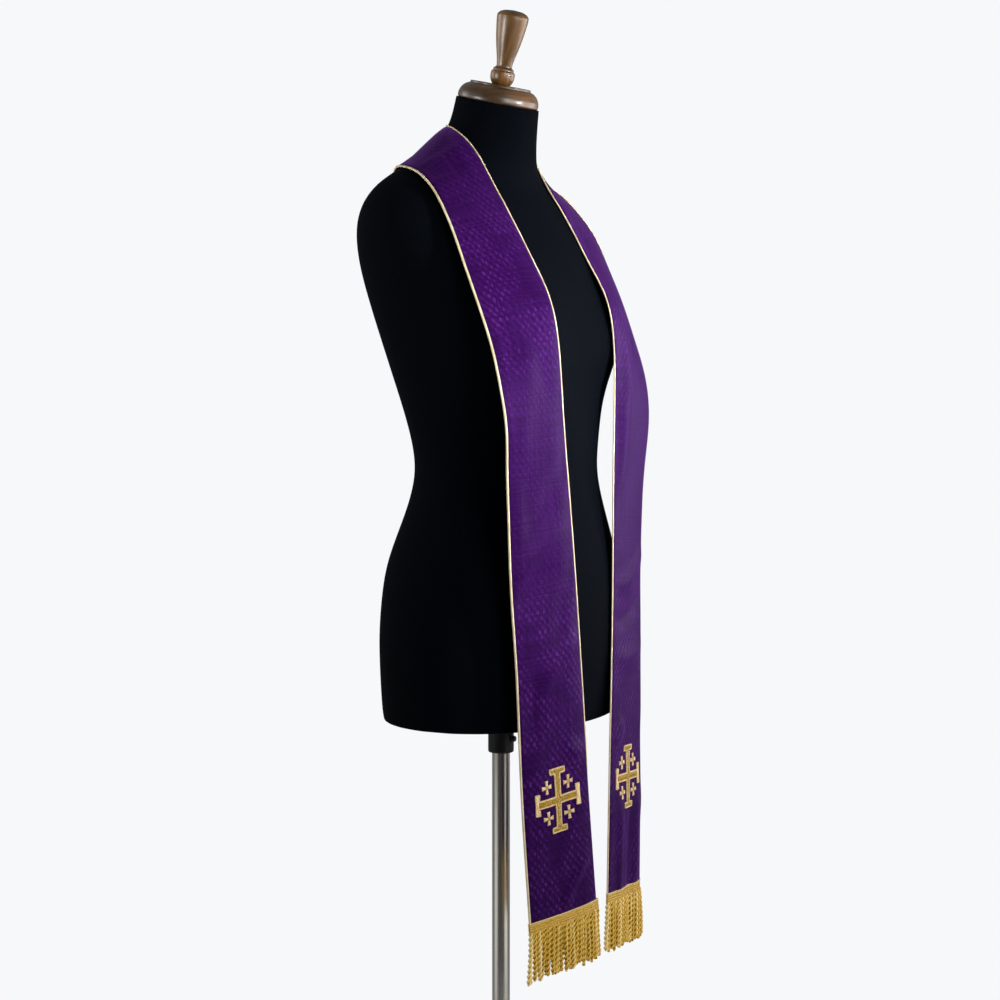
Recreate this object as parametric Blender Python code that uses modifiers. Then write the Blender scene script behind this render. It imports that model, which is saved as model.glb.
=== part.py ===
"""Clerical stole worn by a limbless dress form on a pole stand.

+Z is up, the floor is z = 0 and the pole stands on the origin. The form faces -Y, so the
wearer's right is -X. Sizes are in millimetres, and MM turns them to metres. Heights in the
tables of the torso and of the stole are above the torso's underside.
"""

import math

import bmesh
import bpy
import numpy as np
from mathutils import Matrix, Vector
from mathutils.bvhtree import BVHTree

MM = 0.001
CLEARANCE = 0.3  # between neighbouring pieces
SLIDING_FIT = 0.4  # between the pole or the screw and the wall of its hole

# Stand
BASE_RADIUS = 165
BASE_THICKNESS = 8
BASE_EDGE_RADIUS = 4
BOSS_RADIUS = 19
BOSS_HEIGHT = 42
BOSS_ROUNDING = 2
BOSS_FOOT = 4
POLE_RADIUS = 11
POLE_INSIDE_TORSO = 150
POLE_ROUNDING = 3
POLE_CORNER = 0.9  # middle of its rounding, in from both faces
UNDERSIDE_HEIGHT = 713  # the torso's underside above the floor

# Socket, which clamps on the pole and carries the torso
SOCKET_RADIUS = 15.9
SOCKET_HEIGHT = 51
SOCKET_FLANGE_RADIUS = 22
SOCKET_FLANGE_THICKNESS = 4
SOCKET_COLLAR_RADIUS = 16.7
SOCKET_COLLAR_TOP = 6  # below the torso's underside, as its end
SOCKET_COLLAR_END = 24
SOCKET_STEP = 3
SOCKET_CHAMFER = 2
SCREW_DROP = 33  # screw axis below the torso's underside
SCREW_RADIUS = 1.8
SCREW_HEAD_RADIUS = 3.6
SCREW_HEAD_LENGTH = 5
SCREW_HEAD_CHAMFER = 0.8
SCREW_TIP = 0.4

# Torso: closed rings from the underside to the cut of the neck. shoulder_y is the depth of the
# widest line, front and back are the ring's depths from the pole, and tilt raises its back.
BORE_RADIUS = 11.6
BORE_DEPTH = 420
RING_SIDES = 44
RINGS_PER_ROW = 2
BUST = {"x": 86, "height": 449, "depth": 24, "spread_x": 54, "spread_z": 54}
TORSO_COLUMNS = (
    "height", "half_width", "shoulder_y", "front", "back", "front_power", "back_power", "tilt",
)
TORSO_ROWS = (
    (0, 167, 0, 127, 123, 2.1, 2.1, 0),
    (9, 170.5, 0, 130, 126.5, 2.1, 2.1, 0),
    (77, 175, 0, 135, 129, 2.1, 2.1, 0),
    (127, 172, 0, 135, 129, 2.1, 2.1, 0),
    (187, 160, 0, 132.5, 124, 2.1, 2.1, 0),
    (247, 133, 0, 123, 105, 2.1, 2.1, 0),
    (297, 118.5, 2, 115, 93.5, 2.1, 2.1, 0),
    (347, 124.5, 4, 114, 97.5, 2.2, 2.2, 0),
    (407, 139, 9, 107, 110, 2.3, 2.4, 0),
    (457, 153, 18, 108, 120, 2.3, 2.5, 0),
    (517, 171, 30, 101, 129, 2.2, 2.6, 0),
    (562, 183, 37, 83, 132, 2.1, 2.6, 0),
    (597, 183, 41, 64, 128, 2.0, 2.6, 3),
    (625, 160, 43, 49, 116, 2.0, 2.5, 8),
    (645, 115, 38, 38, 98, 2.0, 2.3, 14),
    (665, 80, 26, 35, 84, 2.0, 2.1, 18),
    (697, 55, 12, 40, 66, 2.0, 2.0, 16),
    (740, 50, 5, 45, 55, 2.0, 2.0, 12.5),
)

# Neck cap and finial, turned, as (radius, height) above the neck's cut and above the cap
CAP_PROFILE = (
    (48.6, 0), (49.2, 4), (48.4, 9), (45.8, 14), (41.5, 18), (38, 19.4), (36.6, 19.6),
    (36.6, 21.6), (0, 21.6),
)
CAP_HEIGHT = CAP_PROFILE[-1][1]
FINIAL_PROFILE = (
    (10.6, 0), (13.2, 3.5), (14.4, 8), (14.5, 13), (13.9, 15.6), (12.4, 16.6), (12.2, 18.8),
    (11.2, 20.2), (9.3, 21.6), (9.9, 27), (11.3, 34), (13.6, 43.5), (16, 55), (17.9, 68),
    (19, 77), (19, 82), (16.4, 85.6), (10.5, 88), (0, 89.2),
)

# Stole: edges of its sections from the seam at the centre back, over the shoulder and the bust,
# to the hem. left_bow and right_bow are how far each half stands out of the straight chord, and
# curl is how far the outer edge of the left half rolls back.
WALL = 1.6
PIPING_RADIUS = 1.8
REST_GAP = 0.8  # from the torso to the piping
STOLE_COLUMNS = (
    "inner_x", "inner_y", "inner_z", "outer_x", "outer_y", "outer_z",
    "left_bow", "right_bow", "curl",
)
STOLE_ROWS = (
    (0.25, 68, 716, 0.25, 121, 640, 0, 0, 0),
    (26, 62, 716, 45, 118, 644, 1, 1, 0),
    (44, 46, 714, 83, 100, 655, 0, 3, 0),
    (54, 28, 708, 110, 68, 660, -3, 5, 0),
    (60, 8, 695, 128, 39, 657, -6, 5, 0),
    (60, -10, 676, 142, 8, 641, -6, 4, 0),
    (58, -25, 648, 147, -9, 624, -2, 4, 0),
    (60, -54, 600, 158, -38, 585, 5, 4, 1),
    (60.5, -85.5, 552, 160, -58.5, 538, 5.5, 4, 2),
    (62.8, -113, 506, 161, -78, 494, 5.5, 5, 3),
    (61.2, -122.6, 459, 162, -96, 450, 5.5, 5, 4),
    (59.4, -125.5, 413, 166.5, -110.5, 405, 5, 5, 5),
    (56.4, -126.7, 366, 164, -118, 358, 4, 5, 6),
    (52.4, -128.6, 319, 159.5, -115, 311, 3.5, 4.5, 6),
    (48.3, -130.7, 272, 154.5, -113.5, 264, 3, 4.5, 6),
    (41.2, -134.8, 177, 149.5, -114, 169, 2.5, 4.5, 6),
    (34.6, -138, 82, 144, -118, 74, 2.5, 4.5, 6),
    (23.6, -142, -63, 139, -122, -71, 2, 4.5, 6),
    (11.5, -147, -211, 129.5, -127, -219, 2, 4.5, 5),
)
ACROSS = (0, 0.09, 0.3, 0.5, 0.7, 0.87, 1)  # columns of the sections
CURL_START = 0.84  # share of the width where the outer edge starts to roll back
RIGHT_CURL = 0.1  # of the left half's curl, on the right half
LEFT_PEAK = 0.5  # share of the width where a half stands out most
RIGHT_PEAK = 0.27
SECTION_STEP_WORN = 14
SECTION_STEP_HANGING = 29
WORN_LENGTH = 480  # from the seam to where the cloth hangs free
SMOOTHING = 3

# Cross on each end
CROSS_ABOVE_HEM = 136
CROSS_THICKNESS = 1.0
CROSS_GAP = 0.45
CROSS_ARM = 9
CROSS_WIDTH = 76
CROSS_SPAN = 76.5
CROSS_BAR_LENGTH = 25
CROSS_BAR_WIDTH = 6.5
SMALL_CROSS_OFFSET = 18.4
SMALL_CROSS_SPAN = 16
SMALL_CROSS_ARM = 4.6

# Fringe on each end
HEADER_HEIGHT = 13
HEADER_THICKNESS = 2.6
STRANDS = 36
STRAND_LENGTH = 55
STRAND_RINGS = 3
STRAND_INSET = 0.22
STRAND_SWAY = 0.7
STRAND_SPLAY = 2.0


# ---------------------------------------------------------------- helpers

def material(name, colour, roughness, metallic=0.0):
    made = bpy.data.materials.new(name)
    made.use_nodes = True
    shader = made.node_tree.nodes["Principled BSDF"]
    shader.inputs["Base Color"].default_value = (*colour, 1.0)
    shader.inputs["Roughness"].default_value = roughness
    shader.inputs["Metallic"].default_value = metallic
    return made


def place(name, mesh, finish, collection):
    piece = bpy.data.objects.new(name, mesh)
    collection.objects.link(piece)
    mesh.materials.clear()
    mesh.materials.append(finish)
    return piece


def mesh_from(build, name):
    """A mesh made by build(bm)."""
    bm = bmesh.new()
    build(bm)
    mesh = bpy.data.meshes.new(name)
    bm.to_mesh(mesh)
    bm.free()
    return mesh


def catmull_rom(rows, position):
    """The row at a position between whole rows, on a smooth curve through them."""
    last = len(rows) - 1
    start = min(int(position), last - 1)
    u = position - start
    before = rows[start - 1] if start > 0 else 2 * rows[0] - rows[1]
    after = rows[start + 2] if start + 2 <= last else 2 * rows[last] - rows[last - 1]
    here, there = rows[start], rows[start + 1]
    return 0.5 * (
        2 * here
        + (there - before) * u
        + (2 * before - 5 * here + 4 * there - after) * u ** 2
        + (3 * here - before - 3 * there + after) * u ** 3
    )


def turned(name, profile, steps, finish):
    """A solid of revolution about Z from a profile of (radius, height), from top to bottom."""
    mesh = bpy.data.meshes.new(name)
    points = [(radius * MM, 0, height * MM) for radius, height in profile]
    edges = [(i, i + 1) for i in range(len(points) - 1)]
    if profile[0][0] > 0:
        edges.append((len(points) - 1, 0))
    mesh.from_pydata(points, edges, [])
    piece = place(name, mesh, finish, parts)
    screw = piece.modifiers.new("Turn", "SCREW")
    screw.steps = screw.render_steps = steps
    screw.use_merge_vertices = True
    screw.merge_threshold = 0.0001 * MM
    screw.use_smooth_shade = True
    return piece


def cut(piece, cutter):
    boolean = piece.modifiers.new("Cut", "BOOLEAN")
    boolean.operation = "DIFFERENCE"
    boolean.object = cutter


def cylinder(name, radius, length, sides, finish, collection):
    """A cylinder about Z from z = 0 up."""
    def build(bm):
        bmesh.ops.create_cone(
            bm, cap_ends=True, segments=sides, radius1=radius * MM, radius2=radius * MM,
            depth=length * MM, matrix=Matrix.Translation((0, 0, length / 2 * MM)),
        )
    return place(name, mesh_from(build, name), finish, collection)


def as_cutter(piece):
    piece.hide_render = True
    piece.display_type = "WIRE"
    return piece


# ---------------------------------------------------------------- scene

for old in list(bpy.data.objects):
    bpy.data.objects.remove(old, do_unlink=True)

parts = bpy.data.collections.new("clerical_stole_on_dress_form")
cutters = bpy.data.collections.new("cutters")
bpy.context.scene.collection.children.link(parts)
bpy.context.scene.collection.children.link(cutters)

STEEL = material("brushed_steel_tube", (0.30, 0.27, 0.24), 0.32, 1.0)
BLACK_PLASTIC = material("black_nylon", (0.012, 0.012, 0.014), 0.5)
BLACK_PAINT = material("black_painted_iron", (0.015, 0.015, 0.016), 0.45)
JERSEY = material("black_jersey_cover", (0.003, 0.004, 0.006), 0.85)
WALNUT = material("varnished_walnut", (0.16, 0.08, 0.035), 0.35)
PURPLE = material("purple_brocade", (0.075, 0.02, 0.16), 0.5)
CREAM_CORD = material("cream_gold_piping", (0.70, 0.56, 0.30), 0.5)
GOLD_THREAD = material("gold_embroidery", (0.42, 0.26, 0.06), 0.45)
GOLD_FRINGE = material("gold_bullion_fringe", (0.38, 0.22, 0.04), 0.5)


# ---------------------------------------------------------------- stand

def make_stand():
    top = BASE_THICKNESS + BOSS_HEIGHT
    seat = BASE_THICKNESS
    socket = POLE_RADIUS + SLIDING_FIT
    edge = BASE_EDGE_RADIUS
    profile = [(0, seat), (socket, seat), (socket, top), (BOSS_RADIUS - BOSS_ROUNDING, top)]
    profile += [(BOSS_RADIUS, top - BOSS_ROUNDING), (BOSS_RADIUS, BASE_THICKNESS + BOSS_FOOT)]
    profile += [(BOSS_RADIUS + BOSS_FOOT, BASE_THICKNESS), (BASE_RADIUS - edge, BASE_THICKNESS)]
    for step in (1, 2, 3):
        angle = math.radians(90 - 30 * step)
        profile.append((
            BASE_RADIUS - edge + edge * math.cos(angle),
            BASE_THICKNESS - edge + edge * math.sin(angle),
        ))
    profile += [(BASE_RADIUS, 0), (0, 0)]
    turned("base_plate", profile, 40, BLACK_PAINT)

    foot = seat + CLEARANCE
    length = UNDERSIDE_HEIGHT + POLE_INSIDE_TORSO - foot
    radius, round_off = POLE_RADIUS, POLE_ROUNDING
    profile = [(0, length), (radius - round_off, length)]
    profile += [(radius - POLE_CORNER, length - POLE_CORNER)]
    profile += [(radius, length - round_off), (radius, 0), (0, 0)]
    pole = turned("pole", profile, 24, STEEL)
    pole.location.z = foot * MM


def make_socket():
    top = UNDERSIDE_HEIGHT - CLEARANCE
    bottom = UNDERSIDE_HEIGHT - SOCKET_HEIGHT
    bore = POLE_RADIUS + SLIDING_FIT
    profile = [(bore, top), (SOCKET_FLANGE_RADIUS, top)]
    profile += [(SOCKET_FLANGE_RADIUS, top - SOCKET_FLANGE_THICKNESS)]
    profile += [(SOCKET_COLLAR_RADIUS, top - SOCKET_COLLAR_TOP)]
    profile += [(SOCKET_COLLAR_RADIUS, top - SOCKET_COLLAR_END)]
    profile += [(SOCKET_RADIUS, top - SOCKET_COLLAR_END - SOCKET_STEP)]
    profile += [(SOCKET_RADIUS, bottom + SOCKET_CHAMFER)]
    profile += [(SOCKET_RADIUS - SOCKET_CHAMFER, bottom), (bore, bottom)]
    socket = turned("pole_socket", profile, 24, BLACK_PLASTIC)

    hole_radius = SCREW_RADIUS + SLIDING_FIT
    height = (UNDERSIDE_HEIGHT - SCREW_DROP) * MM
    forwards = Matrix.Rotation(math.radians(90), 4, "X")
    hole = as_cutter(cylinder("screw_hole", hole_radius, 30, 12, BLACK_PLASTIC, cutters))
    hole.matrix_world = Matrix.Translation((0, 0, height)) @ forwards
    cut(socket, hole)

    tip = POLE_RADIUS + CLEARANCE
    seat = SOCKET_RADIUS + CLEARANCE
    end = seat + SCREW_HEAD_LENGTH
    profile = [(0, end), (SCREW_HEAD_RADIUS - SCREW_HEAD_CHAMFER, end)]
    profile += [(SCREW_HEAD_RADIUS, end - SCREW_HEAD_CHAMFER), (SCREW_HEAD_RADIUS, seat)]
    profile += [(SCREW_RADIUS, seat), (SCREW_RADIUS, tip + SCREW_TIP), (0, tip)]
    screw = turned("clamp_screw", profile, 12, BLACK_PLASTIC)
    screw.matrix_world = Matrix.Translation((0, 0, height)) @ forwards


# ---------------------------------------------------------------- dress form

TORSO_TABLE = np.array(TORSO_ROWS, float)


def torso_ring(position, sides):
    """Points of the ring at a position in the table, counted in rows, in millimetres."""
    row = dict(zip(TORSO_COLUMNS, catmull_rom(TORSO_TABLE, position)))
    points = []
    for side in range(sides):
        angle = 2 * math.pi * side / sides
        across, deep = math.cos(angle), math.sin(angle)
        power = 2 / row["front_power" if deep < 0 else "back_power"]
        reach = row["front"] + row["shoulder_y"] if deep < 0 else row["back"] - row["shoulder_y"]
        x = row["half_width"] * math.copysign(abs(across) ** power, across)
        y = row["shoulder_y"] + reach * math.copysign(abs(deep) ** power, deep)
        rise = (row["height"] - BUST["height"]) / BUST["spread_z"]
        for breast in (-BUST["x"], BUST["x"]):
            off = (x - breast) / BUST["spread_x"]
            y -= BUST["depth"] * math.exp(-off ** 2 - rise ** 2) * min(max(-1.6 * deep, 0), 1)
        z = UNDERSIDE_HEIGHT + row["height"] + math.tan(math.radians(row["tilt"])) * y
        points.append((x, y, z))
    return points


def make_torso():
    def build(bm):
        count = RINGS_PER_ROW * (len(TORSO_ROWS) - 1) + 1
        rings = []
        for index in range(count):
            points = torso_ring(index / RINGS_PER_ROW, RING_SIDES)
            rings.append([bm.verts.new(Vector(point) * MM) for point in points])
        for low, high in zip(rings, rings[1:]):
            for i in range(RING_SIDES):
                j = (i + 1) % RING_SIDES
                bm.faces.new((low[i], low[j], high[j], high[i]))
        bm.faces.new(rings[0][::-1])
        bm.faces.new(rings[-1])
    torso = place("form_torso", mesh_from(build, "form_torso"), JERSEY, parts)
    torso.data.shade_smooth()
    drill = cylinder("pole_bore", BORE_RADIUS, BORE_DEPTH + 10, 24, JERSEY, cutters)
    as_cutter(drill).location.z = (UNDERSIDE_HEIGHT - 10) * MM
    cut(torso, drill)
    return torso


def make_cap_and_finial():
    row = dict(zip(TORSO_COLUMNS, TORSO_TABLE[-1]))
    tilt = math.radians(row["tilt"])
    middle = (row["back"] - row["front"]) / 2
    height = UNDERSIDE_HEIGHT + row["height"] + math.tan(tilt) * middle
    neck_cut = Matrix.Translation((0, middle * MM, height * MM)) @ Matrix.Rotation(tilt, 4, "X")

    cap = turned("neck_cap", list(reversed(CAP_PROFILE)) + [(0, 0)], 32, WALNUT)
    cap.matrix_world = neck_cut @ Matrix.Translation((0, 0, CLEARANCE * MM))

    finial = turned("finial", list(reversed(FINIAL_PROFILE)) + [(0, 0)], 24, WALNUT)
    seat = CAP_HEIGHT + 2 * CLEARANCE
    finial.matrix_world = neck_cut @ Matrix.Translation((0, 0, seat * MM))


# ---------------------------------------------------------------- stole

class Half:
    """The middle surface of one half of the stole, as a grid of points and normals.

    It is the wearer's left half; on_side mirrors its points for the right one.
    """

    def __init__(self, torso_tree, side):
        self.side = side
        self.tree = torso_tree
        table = np.array(STOLE_ROWS, float)
        table[:, [2, 5]] += UNDERSIDE_HEIGHT
        if side < 0:
            table[:, STOLE_COLUMNS.index("curl")] *= RIGHT_CURL
        fine = np.linspace(0, len(table) - 1, 600)
        rows = np.array([catmull_rom(table, position) for position in fine])
        middles = (rows[:, 0:3] + rows[:, 3:6]) / 2
        steps = np.linalg.norm(np.diff(middles, axis=0), axis=1)
        reached = np.concatenate([[0], np.cumsum(steps)])
        self.length = reached[-1]
        worn = np.linspace(0, WORN_LENGTH, round(WORN_LENGTH / SECTION_STEP_WORN) + 1)
        hanging_length = self.length - WORN_LENGTH
        hanging_steps = round(hanging_length / SECTION_STEP_HANGING)
        hanging = np.linspace(WORN_LENGTH, self.length, hanging_steps + 1)[1:]
        self.along = np.concatenate([worn, hanging])
        positions = np.interp(self.along, reached, fine)
        self.sections = [catmull_rom(table, position) for position in positions]
        self.widths = np.array([
            np.linalg.norm(row[3:6] - row[0:3]) for row in self.sections
        ])
        self.lay_grid()

    def lay_grid(self):
        """Points from the inner to the outer edge of the whole half, piping included."""
        points = np.zeros((len(self.sections), len(ACROSS), 3))
        for i, row in enumerate(self.sections):
            section = dict(zip(STOLE_COLUMNS, row))
            chord = row[3:6] - row[0:3]
            out = np.cross(self.tangent(i), chord)
            out /= np.linalg.norm(out)
            bow = section["left_bow" if self.side > 0 else "right_bow"]
            peak = LEFT_PEAK if self.side > 0 else RIGHT_PEAK
            for j, u in enumerate(ACROSS):
                quarter = u / peak if u < peak else (1 - u) / (1 - peak)
                rolled = max(0, (u - CURL_START) / (1 - CURL_START)) ** 2
                proud = bow * math.sin(math.pi / 2 * quarter) - section["curl"] * rolled
                points[i, j] = self.rest(row[0:3] + chord * u + out * proud)
        for _ in range(SMOOTHING):
            points[1:-1] = points[:-2] / 4 + points[1:-1] / 2 + points[2:] / 4
            for i, j in np.ndindex(points.shape[:2]):
                points[i, j] = self.rest(points[i, j])
        self.points = points
        down = np.gradient(points, axis=0)
        sideways = np.gradient(points, axis=1)
        down[0, :, 1:] = 0
        normals = np.cross(down, sideways)
        self.normals = normals / np.linalg.norm(normals, axis=2)[..., None]

    def tangent(self, i):
        if i == 0:
            return np.array([1.0, 0, 0])
        after = min(i + 1, len(self.sections) - 1)
        run = self.sections[after] - self.sections[i - 1]
        return run[0:3] + run[3:6]

    def rest(self, point):
        """The point, moved out of the torso to where the cloth rests on it."""
        near, normal, _, _ = self.tree.find_nearest(Vector(point) * MM)
        near = np.array(near) / MM
        normal = np.array(normal)
        wanted = PIPING_RADIUS + REST_GAP
        height = float(np.dot(point - near, normal))
        return near + normal * wanted if height < wanted else point

    def at(self, along, sideways, lift=0.0):
        """The point at a length from the seam, a distance out from the middle and a lift."""
        row = np.interp(along, self.along, np.arange(len(self.along)))
        width = np.interp(along, self.along, self.widths)
        column = np.interp(0.5 + sideways / width, ACROSS, np.arange(len(ACROSS)))
        i = min(int(row), len(self.along) - 2)
        j = min(int(column), len(ACROSS) - 2)
        a, b = row - i, column - j
        value = [
            (grid[i, j] * (1 - b) + grid[i, j + 1] * b) * (1 - a)
            + (grid[i + 1, j] * (1 - b) + grid[i + 1, j + 1] * b) * a
            for grid in (self.points, self.normals)
        ]
        return value[0] + value[1] / np.linalg.norm(value[1]) * lift


def on_side(point, side):
    """A point of the left half, in metres, on the left (side 1) or mirrored to the right (-1)."""
    return Vector((point[0] * side, point[1], point[2])) * MM


def solidified(name, mesh, thickness, finish, side):
    """The open surface as a wall of even thickness, whose faces point out on both sides."""
    if side < 0:
        mesh.flip_normals()
    piece = place(name, mesh, finish, parts)
    solidify = piece.modifiers.new("Wall", "SOLIDIFY")
    solidify.thickness = thickness * MM
    solidify.offset = 0
    solidify.use_even_offset = True
    return piece


def make_panel(half, side, name):
    edge = 2 * PIPING_RADIUS + CLEARANCE

    def build(bm):
        columns, rows = len(ACROSS) - 1, len(half.along) - 1
        bmesh.ops.create_grid(bm, x_segments=columns, y_segments=rows, size=1)
        for vertex in bm.verts:
            i = round((vertex.co.y + 1) / 2 * rows)
            j = round((vertex.co.x + 1) / 2 * columns)
            reach = half.widths[i] - 2 * edge
            sideways = (ACROSS[j] - 0.5) * reach
            vertex.co = on_side(half.at(half.along[i], sideways), side)
    solidified(name, mesh_from(build, name), WALL, PURPLE, side)


def make_piping(half, side, name, direction):
    """A cord along the inner (direction -1) or the outer edge (1)."""
    curve = bpy.data.curves.new(name, "CURVE")
    curve.dimensions = "3D"
    curve.bevel_depth = PIPING_RADIUS * MM
    curve.bevel_resolution = 1
    curve.use_fill_caps = True
    spline = curve.splines.new("POLY")
    spline.points.add(len(half.along) - 1)
    for point, along, width in zip(spline.points, half.along, half.widths):
        sideways = direction * (width / 2 - PIPING_RADIUS)
        point.co = (*on_side(half.at(along, sideways), side), 1)
    piece = bpy.data.objects.new(name, curve)
    curve.materials.append(CREAM_CORD)
    parts.objects.link(piece)


def cross_cells(rectangles):
    """The cells of the grid through all the rectangles' edges that lie in one of them."""
    stops_x = sorted({edge for low_x, high_x, _, _ in rectangles for edge in (low_x, high_x)})
    stops_y = sorted({edge for _, _, low_y, high_y in rectangles for edge in (low_y, high_y)})
    for left, right in zip(stops_x, stops_x[1:]):
        for low, high in zip(stops_y, stops_y[1:]):
            x, y = (left + right) / 2, (low + high) / 2
            if any(a < x < b and c < y < d for a, b, c, d in rectangles):
                yield left, right, low, high


def make_cross(half, side, name, centre, rectangles):
    """A flat motif on the cloth, from rectangles about its centre (sideways, up)."""
    lift = WALL / 2 + CROSS_GAP + CROSS_THICKNESS / 2
    middle = half.length - CROSS_ABOVE_HEM - centre[1]

    def build(bm):
        corners = {}

        def corner(x, y):
            if (x, y) not in corners:
                point = half.at(middle - y, centre[0] + x, lift)
                corners[x, y] = bm.verts.new(on_side(point, side))
            return corners[x, y]

        for left, right, low, high in cross_cells(rectangles):
            bm.faces.new((
                corner(left, high), corner(right, high), corner(right, low), corner(left, low),
            )[::-1])
    solidified(name, mesh_from(build, name), CROSS_THICKNESS, GOLD_THREAD, side)


def make_crosses(half, side, side_name):
    arm, bar = CROSS_ARM / 2, CROSS_BAR_LENGTH / 2
    reach, side_bar = CROSS_WIDTH / 2, CROSS_WIDTH / 2 - CROSS_BAR_WIDTH
    span, end_bar = CROSS_SPAN / 2, CROSS_SPAN / 2 - CROSS_BAR_WIDTH
    potent = [
        (-reach, reach, -arm, arm), (-arm, arm, -span, span),
        (-reach, -side_bar, -bar, bar), (side_bar, reach, -bar, bar),
        (-bar, bar, -span, -end_bar), (-bar, bar, end_bar, span),
    ]
    make_cross(half, side, f"cross_{side_name}_main", (0, 0), potent)
    arm, span = SMALL_CROSS_ARM / 2, SMALL_CROSS_SPAN / 2
    greek = [(-span, span, -arm, arm), (-arm, arm, -span, span)]
    places = {"upper_inner": (-1, 1), "upper_outer": (1, 1),
              "lower_inner": (-1, -1), "lower_outer": (1, -1)}
    for place_name, (across, up) in places.items():
        centre = (across * SMALL_CROSS_OFFSET, up * SMALL_CROSS_OFFSET)
        make_cross(half, side, f"cross_{side_name}_{place_name}", centre, greek)


def make_fringe(half, side, name):
    """A header braid below the hem whose strands hang from its lower edge."""
    width = half.widths[-1]
    hem_down = half.at(half.length, 0) - half.at(half.length - 40, 0)
    hem_down /= np.linalg.norm(hem_down)

    def build(bm):
        normal = half.normals[-1, len(ACROSS) // 2] * HEADER_THICKNESS / 2
        rings = []
        for i in range(STRANDS + 1):
            sideways = (i / STRANDS - 0.5) * (width - 0.2)
            top = half.at(half.length, sideways) + hem_down * CLEARANCE
            bottom = top + hem_down * HEADER_HEIGHT
            corners = (top - normal, top + normal, bottom + normal, bottom - normal)
            rings.append([bm.verts.new(on_side(corner, side)) for corner in corners])
        roots = []
        for near, far in zip(rings, rings[1:]):
            for k in range(4):
                m = (k + 1) % 4
                face = bm.faces.new((near[k], far[k], far[m], near[m]))
                if k == 2:
                    roots.append(face)
        bm.faces.new(rings[0])
        bm.faces.new(rings[-1][::-1])
        bmesh.ops.inset_individual(bm, faces=roots, thickness=STRAND_INSET * MM)
        for index, face in enumerate(roots):
            end = (index + 0.5) / STRANDS * 2 - 1
            for ring in range(STRAND_RINGS):
                made = bmesh.ops.extrude_discrete_faces(bm, faces=[face])
                face = made["faces"][0]
                sway = STRAND_SWAY * (1 if index % 2 else -1) * (ring < 1)
                chord = half.at(half.length, width / 2) - half.at(half.length, -width / 2)
                run = np.array([0, 0, -STRAND_LENGTH / STRAND_RINGS])
                run = run + chord / width * end * STRAND_SPLAY / STRAND_RINGS
                run = run + half.normals[-1, len(ACROSS) // 2] * sway
                bmesh.ops.translate(bm, verts=face.verts, vec=on_side(run, side))
            middle = face.calc_center_median()
            for vertex in face.verts:
                vertex.co = middle + (vertex.co - middle) * 0.6
        bmesh.ops.recalc_face_normals(bm, faces=bm.faces)
    place(name, mesh_from(build, name), GOLD_FRINGE, parts)


def make_stole(torso):
    torso_bm = bmesh.new()
    torso_bm.from_mesh(torso.data)
    tree = BVHTree.FromBMesh(torso_bm)
    torso_bm.free()
    for side, side_name in ((-1, "right"), (1, "left")):
        half = Half(tree, side)
        make_panel(half, side, f"stole_{side_name}")
        make_piping(half, side, f"piping_{side_name}_inner", -1)
        make_piping(half, side, f"piping_{side_name}_outer", 1)
        make_crosses(half, side, side_name)
        make_fringe(half, side, f"fringe_{side_name}")


make_stand()
make_socket()
form_torso = make_torso()
make_cap_and_finial()
make_stole(form_torso)
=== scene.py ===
import math

import bmesh
import bpy
import numpy as np
from mathutils import Matrix, Vector
from mathutils.bvhtree import BVHTree


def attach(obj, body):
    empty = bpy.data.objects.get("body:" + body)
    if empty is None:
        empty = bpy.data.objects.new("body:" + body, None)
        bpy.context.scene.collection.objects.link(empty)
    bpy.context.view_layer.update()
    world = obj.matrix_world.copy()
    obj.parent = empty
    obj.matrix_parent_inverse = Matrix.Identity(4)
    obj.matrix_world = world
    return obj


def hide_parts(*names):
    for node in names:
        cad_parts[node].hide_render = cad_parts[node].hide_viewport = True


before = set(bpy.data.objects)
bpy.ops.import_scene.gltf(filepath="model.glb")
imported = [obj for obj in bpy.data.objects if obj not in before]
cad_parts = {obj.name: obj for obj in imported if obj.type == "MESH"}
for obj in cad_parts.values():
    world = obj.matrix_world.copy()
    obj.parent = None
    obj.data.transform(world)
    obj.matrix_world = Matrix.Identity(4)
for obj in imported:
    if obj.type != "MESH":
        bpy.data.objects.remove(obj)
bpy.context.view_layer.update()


# ---------------------------------------------------------------- base plate
# A round floor plate of cast iron with a raised boss in its middle, where the pole stands. It is
# cast, turned flat underneath and sprayed with a satin black enamel that settles in a fine peel.

MM = 0.001


def linear(hex_colour):
    """The linear colour of an sRGB hex value."""
    channels = [int(hex_colour[i:i + 2], 16) / 255 for i in (1, 3, 5)]
    return [c / 12.92 if c <= 0.04045 else ((c + 0.055) / 1.055) ** 2.4 for c in channels] + [1]


def feed(node, inputs):
    """Sets a node's inputs to values, or links them to sockets or to the outputs of nodes."""
    for name, value in inputs.items():
        if isinstance(value, bpy.types.Node):
            value = next(output for output in value.outputs if output.enabled)
        if isinstance(value, bpy.types.NodeSocket):
            node.id_data.links.new(value, node.inputs[name])
        else:
            node.inputs[name].default_value = value


def add(tree, kind, inputs=None, stops=(), **settings):
    """A node with its settings, fed with its inputs.

    A colour ramp also takes its stops, as (position, hex colour).
    """
    made = tree.nodes.new(kind)
    for name, value in settings.items():
        setattr(made, name, value)
    for _ in stops[2:]:
        made.color_ramp.elements.new(0.5)
    for stop, (position, colour) in enumerate(stops):
        made.color_ramp.elements[stop].position = position
        made.color_ramp.elements[stop].color = linear(colour)
    feed(made, inputs or {})
    return made


def surface(name, sockets):
    """A material, its node tree and its shader, fed with its plain sockets."""
    made = bpy.data.materials.new(name)
    made.use_nodes = True
    shader = made.node_tree.nodes["Principled BSDF"]
    feed(shader, sockets)
    return made, made.node_tree, shader


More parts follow.
